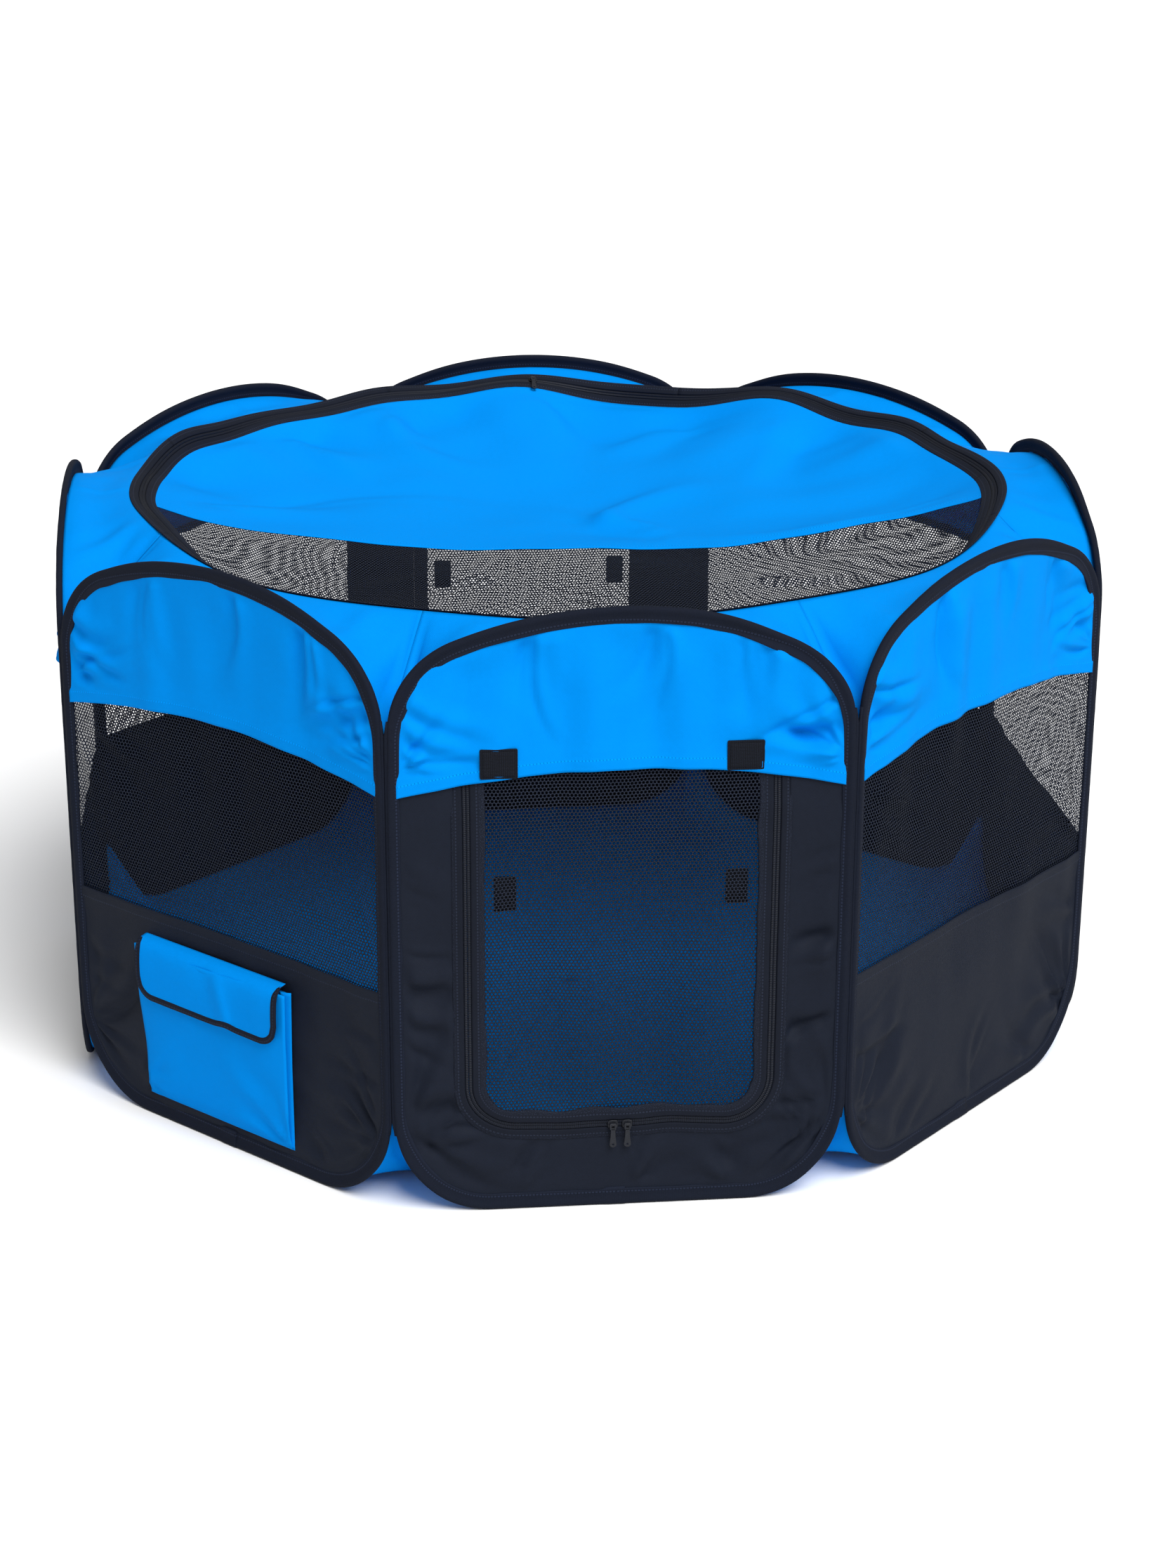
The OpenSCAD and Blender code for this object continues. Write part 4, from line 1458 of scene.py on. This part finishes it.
def collar_cloth(k):
    """Sloping cloth from the roof zip down to the arch of panel k: points and flat coordinates."""
    share = bunched(np.linspace(-1, 1, 71), 0.62)
    q = TURN * (k + share / 2) - math.pi / 2
    face = APOTHEM - 0.0016
    reach = face / np.cos(TURN * share / 2)
    edge_x = face * np.tan(TURN * share / 2)
    edge_z = arch_z(edge_x, 0.010, 0.0175)
    inner = ring_points(0.0115, -0.0002, q)
    outer = np.stack([reach * np.cos(q), reach * np.sin(q), edge_z], -1)
    down = np.linspace(0, 1, 24)[:, None]
    points = inner[None] * (1 - down[..., None]) + outer[None] * down[..., None]
    near = np.minimum(down, 1 - down) * 2
    sag = -0.0045 * smooth(near) * (1 - 0.3 * np.abs(share))
    crease = 0.0018 * np.exp(-((share / 0.035) ** 2)) * smooth(near * 2)
    gather = smooth((np.abs(share) - 0.45) / 0.4)
    ripple = np.cos(share * 26 + 2.2 * drift(share * 3 + k, down * 1.5, 220 + k)) * gather
    ripple = ripple + 0.7 * drift(share * 5 + 3 * k, down * 2.0, 230 + k)
    points[..., 2] += sag + crease + 0.0022 * ripple * smooth(near * 1.6)
    run = np.linalg.norm(outer - inner, axis=-1)
    return points, side_by_side(edge_x[None, :] + HALF, 0.02 + down * run[None, :])


def coil_steps(start, end, pitch):
    """Angles along a stretch of the roof zip, four to each turn of its coil."""
    return np.linspace(start, end, int((end - start) * ROOF_R / pitch * 4))


class CollarOperator(bpy.types.Operator):
    """Sews the sloping collar between the arches and the roof zip, with the fixed half of that zip"""

    bl_idname = "playpen.collar"
    bl_label = "Roof collar"

    def execute(self, context):
        sizes = settings()
        tape = metres([
            (13.8, 0.2), (13.4, 1.15), (10.0, 1.05), (9.0, 1.2),
            (5.2, 1.5), (4.3, 1.45), (4.0, 0.5), (3.0, -0.3),
        ])
        for k, side in enumerate(SIDES):
            start, end = TURN * (k - 0.5) - math.pi / 2, TURN * (k + 0.5) - math.pi / 2
            points, flat = collar_cloth(k)
            cut = Cut().surface(points, flat, "bright_cloth", sizes.cloth)
            cut.surface(*ring_strip(tape, np.linspace(start, end, 60)), "zip_tape", TAPE_T)
            cut.tube(*ring_coil(1, coil_steps(start, end, sizes.coil), sizes.coil), "zip_coil")
            piece = cut.build(f"{side}_collar", f"panel_{side}")
            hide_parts("roof_collar", "roof_tape_outer")
            say_sheet(points, flat)
            lay_flat(piece, k, 0.0030)
        return {"FINISHED"}


def cover_creases():
    """Creases of the cover, drawn at a scale of COVER_DRAWN."""
    drawn = random_creases(240, (
        (-0.38, -0.02, 8, 0.34, 0.5), (0.40, -0.05, 172, 0.34, 0.5), (0.06, 0.02, 62, 0.16, 0.8),
        (0.10, 0.0, 150, 0.14, 0.7), (-0.16, 0.36, -72, 0.16, 0.8), (0.16, 0.36, -108, 0.16, 0.8),
        (0.30, 0.26, -135, 0.18, 0.7), (-0.30, 0.26, -42, 0.18, 0.7), (0.0, 0.40, -88, 0.14, 0.7),
        (-0.10, -0.20, 175, 0.16, 0.6), (0.18, -0.22, 20, 0.16, 0.6), (0.0, -0.33, 80, 0.12, 0.5),
    ))
    return [
        (x * COVER_DRAWN, y * COVER_DRAWN, angle, length * COVER_DRAWN, width, height)
        for x, y, angle, length, width, height in drawn
    ]


def cover_points(u, v, sag, pulled):
    """Points of the hanging cover; u and v are its flat places with its edge at a distance of 1."""
    s = np.minimum(np.hypot(u, v), 1)
    q = np.arctan2(v, u)
    rim = ring_points(-0.0118, -0.0001, q)
    reach = np.hypot(rim[..., 0], rim[..., 1])
    reach = COVER_R + (reach - COVER_R) * smooth((s - 0.3) / 0.7)
    x, y = u * reach, v * reach
    calm = smooth((1 - s) / 0.10)
    z = ROOF_Z + (rim[..., 2] - ROOF_Z) * smooth((s - 0.35) / 0.65) - sag * (1 - s**2) ** 0.9
    back = smooth((np.sin(q) + 0.1) / 0.5)
    lump = np.cos(9 * q + 1.2 + 1.5 * np.cos(2 * q)) * 0.5 + 0.4 * np.cos(15 * q)
    z = z + 0.0095 * back * lump * smooth((s - 0.72) / 0.2) * smooth((1 - s) / 0.07)
    pleat = np.cos(31 * q + 3.0 * drift(q * 3, s * 3, 240)) * (0.5 + 0.5 * drift(q * 2, 0.5, 241))
    z = z + 0.0016 * pleat * smooth((s - 0.6) / 0.3) * calm
    z = z + (0.0060 * drift(x / 0.16, y / 0.13, 242) + 0.0026 * drift(x / 0.07, y / 0.06, 243)) * calm
    ridges = creases(x * COVER_DRAWN, y * COVER_DRAWN, pulled)
    return np.stack([x, y, z + 0.0045 * ridges * calm], -1)


def cover_seam(u):
    """Where the seam between the cover's cloth and its netting runs."""
    return (-0.0625 - 0.0175 * u - 0.030 * (1 - u**2) + 0.0012 * np.sin(u * 30)) / COVER_R


def cover_part(end, lap, rows, sag, pulled):
    """Part of the cover from its seam to its edge, round to the angle end: points and flat coordinates."""
    left, right = -0.9940, 0.9825
    column = np.linspace(-1, 1, 130)
    along = (left + right) / 2 + column * (right - left) / 2
    q = COVER_LEFT + (end - COVER_LEFT) * (column + 1) / 2
    share = np.linspace(0, 1, rows)[:, None]
    u = along * (1 - share) + np.cos(q) * share
    v = (cover_seam(along) + lap * (1 - np.abs(column) ** 8)) * (1 - share) + np.sin(q) * share
    points = cover_points(u, v, sag, pulled)
    off_seam = (v - cover_seam(np.clip(u, -1, 1))) * COVER_R + (0.5 if lap else 0.0)
    return points, np.stack([points[..., 0] + 0.5, off_seam], -1)


class CoverOperator(bpy.types.Operator):
    """Hangs the round roof cover, part cloth and part netting, with the moving half of the roof zip"""

    bl_idname = "playpen.cover"
    bl_label = "Roof cover"

    def execute(self, context):
        sizes = settings()
        pulled = cover_creases()
        cloth, cloth_flat = cover_part(COVER_RIGHT, 0.0, 84, sizes.sag, pulled)
        cut = Cut().surface(cloth[::-1], cloth_flat[::-1], "bright_cloth", sizes.cloth)
        cloth_part = cut.build("roof_cloth_part", "roof_cover")
        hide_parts("roof_cloth")
        say_sheet(cloth, cloth_flat)

        whole = 2 * math.pi
        net, net_flat = cover_part(whole + COVER_RIGHT, 0.020, 60, sizes.sag, pulled)
        net = net - np.array([0, 0, 0.0006])
        net_part = Cut().surface(net[::-1], net_flat[::-1], "window_net").build("roof_net_part", "roof_cover")
        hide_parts("roof_mesh")
        say_sheet(net, net_flat)

        tape = metres([
            (-3.0, -0.3), (-3.8, 0.5), (-4.2, 1.45), (-5.2, 1.5), (-9.0, 1.2),
            (-10.0, 1.05), (-13.6, 1.15), (-14.4, 0.6), (-14.8, -0.4),
        ])
        cut = Cut().surface(*ring_strip(tape, np.linspace(0, whole, 400)), "zip_tape", TAPE_T)
        coil, coil_flat = ring_coil(-1, coil_steps(0, whole, sizes.coil), sizes.coil)
        cut.tube(coil, coil_flat, "zip_coil", capped=False)
        zip_part = cut.build("roof_zip_inner", "roof_cover")
        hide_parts("roof_tape_inner")
        for piece in (cloth_part, net_part, zip_part):
            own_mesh(piece)
        return {"FINISHED"}


# ---------------------------------------------------------------- floor

def gore_rise(x):
    """How high a gore's outer edge is turned up, beside the foot of its hoop."""
    return foot_z(x, 0.004, 0.006) - 0.0005


def floor_gore(k):
    """Gore of the floor from the middle of the pen to panel k: points and flat coordinates."""
    share = bunched(np.linspace(-1, 1, 65), 0.5)
    face = APOTHEM - FLOOR_IN
    edge_x = face * np.tan(TURN * share / 2)
    end = HALF - FLOOR_END
    rise = np.where(np.abs(edge_x) > end, gore_rise(np.array(end)), gore_rise(edge_x))
    out = np.concatenate([np.linspace(0.002, 0.80, 22, endpoint=False), np.linspace(0.80, 1, 20)])[:, None]
    x = edge_x[None, :] * out
    y = APOTHEM - face * out - 0.0028 * smooth((out - 0.97) / 0.03)
    turn_up = np.clip((out - 0.84) / 0.16, 0, 1) ** 1.7
    z = 0.0011 + rise[None, :] * turn_up
    quiet = smooth((1 - out) / 0.06) * smooth(out / 0.1)
    swell = np.maximum(0.0018 * drift(x / 0.09 + 4 * k, y / 0.08, 250), -0.0004)
    z = z + swell * quiet * smooth((1 - np.abs(share)) / 0.1)
    y = y * np.ones_like(x)
    return on_side(k, x, y, z), np.stack([x + HALF, 0.03 + y], -1)


class FloorOperator(bpy.types.Operator):
    """Lays the sewn floor, turned up between the feet of the hoops"""

    bl_idname = "playpen.floor"
    bl_label = "Floor"

    def execute(self, context):
        sizes = settings()
        tilt = math.radians(-4)
        for k, side in enumerate(SIDES):
            points, flat = floor_gore(k)
            cut = Cut().surface(points, flat, "bright_cloth", sizes.cloth)
            piece = cut.build(f"{side}_floor_gore", f"panel_{side}")
            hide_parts("floor")
            say_sheet(points, flat)
            axis = plain(into_pen(k) * math.cos(tilt) + np.array([0, 0, math.sin(tilt)]))
            anchor = plain(on_side(k, 0, 0.0042, 0.001))
            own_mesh(piece)
        return {"FINISHED"}


# ---------------------------------------------------------------- pocket

def pocket_body(cloth):
    """The pocket's front, its two pleated gussets and its thin back, and the cloth's area."""
    k, half = POCKET_SIDE, POCKET_W / 2
    across = np.linspace(-1, 1, 54)
    up = np.linspace(0, 1, 46)[:, None]
    tall = POCKET_H - 0.006
    x = POCKET_X + across * (half - 0.002 - 0.004 * (1 - up))
    z = POCKET_Z + 0.001 + up * tall + 0.0015 * np.sin(across * 2.4 + 0.5) * up
    depth = 0.0040 + 0.0065 * smooth(up * 0.95) + 0.0040 * (1 - across**2) * smooth(up / 0.3)
    depth = depth * smooth((up + 0.02) / 0.10) + 0.0012 * drift(across * 3, up * 3, 260) * smooth(up / 0.2)
    depth = depth + 0.0016 * folds_from(x, z, POCKET_X + half, POCKET_Z, 0.09, 8, 261)
    depth = depth + 0.0014 * folds_from(x, z, POCKET_X - half, POCKET_Z + 0.02, 0.08, 7, 262)
    depth = np.clip(depth, 0.0012, 0.0235)
    front = on_side(k, x, -POCKET_OFF - depth, z)
    cut = Cut().surface(front, np.stack([x + HALF, 0.03 + z], -1), "bright_cloth", cloth)
    area = 2 * grid_area(front)
    pleat = np.linspace(0, 1, 9)
    tuck = np.interp(pleat, [0, 0.25, 0.5, 0.75, 1], [0, 0.25, 1.0, 0.35, 0.0])
    for end, column in ((-1, 0), (1, -1)):
        gx = x[:, column][:, None] - end * tuck[None, :] * 0.0110 * smooth(up / 0.15)
        gy = -POCKET_OFF - depth[:, column][:, None] * (1 - pleat[None, :])
        gz = np.broadcast_to(z[:, column][:, None], gx.shape)
        gusset = on_side(k, gx, gy, gz)
        if end > 0:
            gusset = gusset[:, ::-1]
        area += grid_area(gusset)
        cut.surface(gusset, np.stack([gx + 0.5, 0.03 + gz], -1), "bright_cloth", cloth * 0.8)
    x, z = np.meshgrid(POCKET_X + across * (half - 0.004), POCKET_Z + up[:, 0] * tall)
    back = on_side(k, x, np.full_like(x, -0.0011), z)
    cut.surface(back, np.stack([x + HALF, 0.03 + z], -1), "bright_cloth", 0.0003)
    return cut, area


def flap_cloth():
    """The pocket's flap, from its seam down to its round-cornered edge: points, x and length down it."""
    run = np.array([0, 3, 6, 9, 12, 15, 18, 21, 24, 28, 33, 39, 46, 53, 60, 66, 71, 74.5, 77])
    down = np.interp(run, [0, 9, 18, 24, 30, 77], [0, 1.5, 6.0, 10.5, 16.0, 62.5]) * MM
    out = np.interp(run, [0, 9, 18, 24, 30, 45, 77], [1.2, 8.8, 14.0, 16.0, 17.2, 18.2, 18.0]) * MM
    run = run * MM
    column = np.linspace(-1, 1, 70)
    past = np.maximum(np.abs(column) * FLAP_HALF - (FLAP_HALF - FLAP_CORNER), 0)
    cut_off = FLAP_CORNER - np.sqrt(np.maximum(FLAP_CORNER**2 - past**2, 0))
    full = run[-1] - cut_off[None, :] * 0.98
    along = (run / run[-1])[:, None] * full
    off_fold = column[None, :] * FLAP_HALF - 0.022 - 0.25 * (along - 0.05)
    fold = np.exp(-((off_fold / 0.010) ** 2)) * smooth(along / 0.05)
    z = FLAP_TOP_Z - np.interp(along, run, down) + 0.0035 * fold * smooth(along / 0.07)
    loose = 0.0006 * drift(column[None, :] * 4, along / 0.03, 270) * smooth(along / 0.03)
    y = np.clip(-np.interp(along, run, out) - 0.0030 * fold + loose, -0.0270, -0.0012)
    x = POCKET_X + column[None, :] * FLAP_HALF * np.ones_like(along) + 0.002 * fold
    return on_side(POCKET_SIDE, x, y, z), x, along


def flap_binding(points):
    """Binding tape folded round the flap's sides and lower edge: rings and flat coordinates."""
    border = np.concatenate([points[:, 0], points[-1, 1:-1], points[::-1, -1]])
    length = run_of(border)
    pick = np.linspace(0, length[-1], 150)
    border = np.stack([np.interp(pick, length, border[:, i]) for i in range(3)], -1)
    out_way = -into_pen(POCKET_SIDE)
    tangent = np.gradient(border, axis=0)
    tangent /= np.linalg.norm(tangent, axis=1, keepdims=True)
    inward = np.cross(np.broadcast_to(out_way, tangent.shape), tangent)
    centre = points[6, 35]
    sign = np.sign(((centre - border) * inward).sum(-1, keepdims=True))
    inward = inward * np.median(sign)
    normal = np.cross(tangent, inward)
    normal = normal * np.sign(normal @ out_way)[:, None]
    section = metres([
        (-1.2, 0.0), (-0.8, 1.1), (1.0, 1.4), (5.0, 1.2), (5.6, 0.5),
        (5.6, -0.5), (5.0, -1.2), (1.0, -1.4), (-0.8, -1.1),
    ])
    rings = np.stack([border + inward * a + normal * b for a, b in section], 1)
    across = np.array([0, 1, 2, 6, 6.4, 6.4, 6, 2, 1]) * MM
    return rings, side_by_side(pick[:, None], across[None, :])


class PocketOperator(bpy.types.Operator):
    """Sews the outside pocket and its flap"""

    bl_idname = "playpen.pocket"
    bl_label = "Pocket"

    def execute(self, context):
        sizes = settings()
        side = SIDES[POCKET_SIDE]
        cut, area = pocket_body(sizes.cloth)
        piece = cut.build(f"{side}_pocket", f"panel_{side}")
        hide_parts("pocket_body")

        points, x, along = flap_cloth()
        flat = np.stack([x + HALF, 0.03 + along], -1)
        cut = Cut().surface(points[::-1], flat[::-1], "bright_cloth", sizes.cloth)
        cut.tube(*flap_binding(points), "sleeve_tape")
        piece = cut.build(f"{side}_pocket_flap", None)
        bend = ((-0.0016, 0.2022), (-0.0110, 0.1985))
        hinge = [plain(on_side(POCKET_SIDE, POCKET_X, y, z)) for y, z in bend]
        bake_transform(piece)
        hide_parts("pocket_flap")
        say_sheet(points, np.stack([x, along], -1))
        return {"FINISHED"}


# ---------------------------------------------------------------- stage

def lay_ground(scene):
    """Lays the wide pale floor that the pen stands on."""
    finish = Finish("studio_floor")
    spot = finish.node("ShaderNodeTexCoord", out=3)
    cloud = finish.noise(spot, 1.5, 2.0)
    ground = scene.playpen_colours.ground
    finish.skin(
        Base_Color=finish.blend(cloud, rgba(ground, 0.99), rgba(ground)),
        Roughness=0.85 + cloud * 0.05,
        Specular_IOR_Level=0.1,
    )
    wide, low = 300, -0.0004
    mesh = bpy.data.meshes.new("studio_floor")
    q = np.linspace(0, 2 * math.pi, 65)[:-1]
    mesh.from_pydata([(wide * math.cos(a), wide * math.sin(a), low) for a in q], [], [list(range(64))])
    mesh.materials.append(finish.material)
    floor = bpy.data.objects.new("studio_floor", mesh)
    scene.collection.objects.link(floor)


def hang_backdrop(scene, light):
    """A backdrop that is seen as plain white and gives the given light."""
    world = bpy.data.worlds.new("backdrop")
    world.use_nodes = True
    tree = world.node_tree
    background = tree.nodes["Background"]
    background.inputs["Color"].default_value = (1, 1, 1, 1)
    seen = tree.nodes.new("ShaderNodeMapRange")
    seen.inputs["To Min"].default_value, seen.inputs["To Max"].default_value = light, 1.0
    path = tree.nodes.new("ShaderNodeLightPath")
    tree.links.new(path.outputs["Is Camera Ray"], seen.inputs["Value"])
    tree.links.new(seen.outputs["Result"], background.inputs["Strength"])
    scene.world = world


def hang_lamp(scene, view):
    """The large soft lamp, up in front of the pen and to its right."""
    lamp = bpy.data.lights.new("key_lamp", "SUN")
    lamp.energy, lamp.angle = view.key, view.key_size
    lit = bpy.data.objects.new("key_lamp", lamp)
    lit.rotation_euler = Vector((-0.26, 0.53, -0.80)).to_track_quat("-Z", "Y").to_euler()
    scene.collection.objects.link(lit)


def set_camera(scene, view):
    """The camera, at its distance from its aim."""
    turn, rise = view.azimuth, view.elevation
    look = Vector((math.sin(turn) * math.cos(rise), math.cos(turn) * math.cos(rise), -math.sin(rise)))
    level = look.to_track_quat("-Z", "Y")
    data = bpy.data.cameras.new("view_camera")
    data.lens, data.sensor_width, data.sensor_fit = view.lens, 36, "AUTO"
    data.clip_end = 1000
    camera = bpy.data.objects.new("view_camera", data)
    camera.location = Vector(view.aim) - look * view.distance
    camera.rotation_mode = "QUATERNION"
    camera.rotation_quaternion = level @ Matrix.Rotation(view.roll, 3, "Z").to_quaternion()
    scene.collection.objects.link(camera)
    scene.camera = camera


class StageOperator(bpy.types.Operator):
    """Lays the pale floor and sets up the backdrop, the lamp and the camera"""

    bl_idname = "playpen.stage"
    bl_label = "Stage"

    def execute(self, context):
        scene, view = context.scene, context.scene.playpen_view
        lay_ground(scene)
        hang_backdrop(scene, view.sky)
        hang_lamp(scene, view)
        set_camera(scene, view)
        scene.view_settings.view_transform = "Standard"
        return {"FINISHED"}


class PlaypenPanel(bpy.types.Panel):
    """Lists the steps that build the playpen, with their settings"""

    bl_idname = "VIEW3D_PT_playpen"
    bl_label = "Pet playpen"
    bl_space_type = "VIEW_3D"
    bl_region_type = "UI"
    bl_category = "Playpen"

    def draw(self, context):
        layout, scene = self.layout, context.scene
        for group in (scene.playpen_colours, scene.playpen_sizes, scene.playpen_view):
            box = layout.box()
            for name in group.__annotations__:
                box.prop(group, name)
        for step in STEPS:
            layout.operator(step.bl_idname)


GROUPS = (PlaypenColours, PlaypenSizes, PlaypenView)
STEPS = (
    HoopsOperator, SleevesOperator, BandsOperator, WindowsOperator, SkirtsOperator,
    DoorwaysOperator, DoorFlapsOperator, PadsOperator, SlidersOperator,
    CollarOperator, CoverOperator, FloorOperator, PocketOperator, StageOperator,
)


def register():
    for item in (*GROUPS, *STEPS, PlaypenPanel):
        bpy.utils.register_class(item)
    bpy.types.Scene.playpen_colours = bpy.props.PointerProperty(type=PlaypenColours)
    bpy.types.Scene.playpen_sizes = bpy.props.PointerProperty(type=PlaypenSizes)
    bpy.types.Scene.playpen_view = bpy.props.PointerProperty(type=PlaypenView)


def unregister():
    del bpy.types.Scene.playpen_view
    del bpy.types.Scene.playpen_sizes
    del bpy.types.Scene.playpen_colours
    for item in reversed((*GROUPS, *STEPS, PlaypenPanel)):
        bpy.utils.unregister_class(item)


def main():
    register()
    for step in STEPS:
        group, name = step.bl_idname.split(".")
        getattr(getattr(bpy.ops, group), name)()


if __name__ == "__main__":
    main()
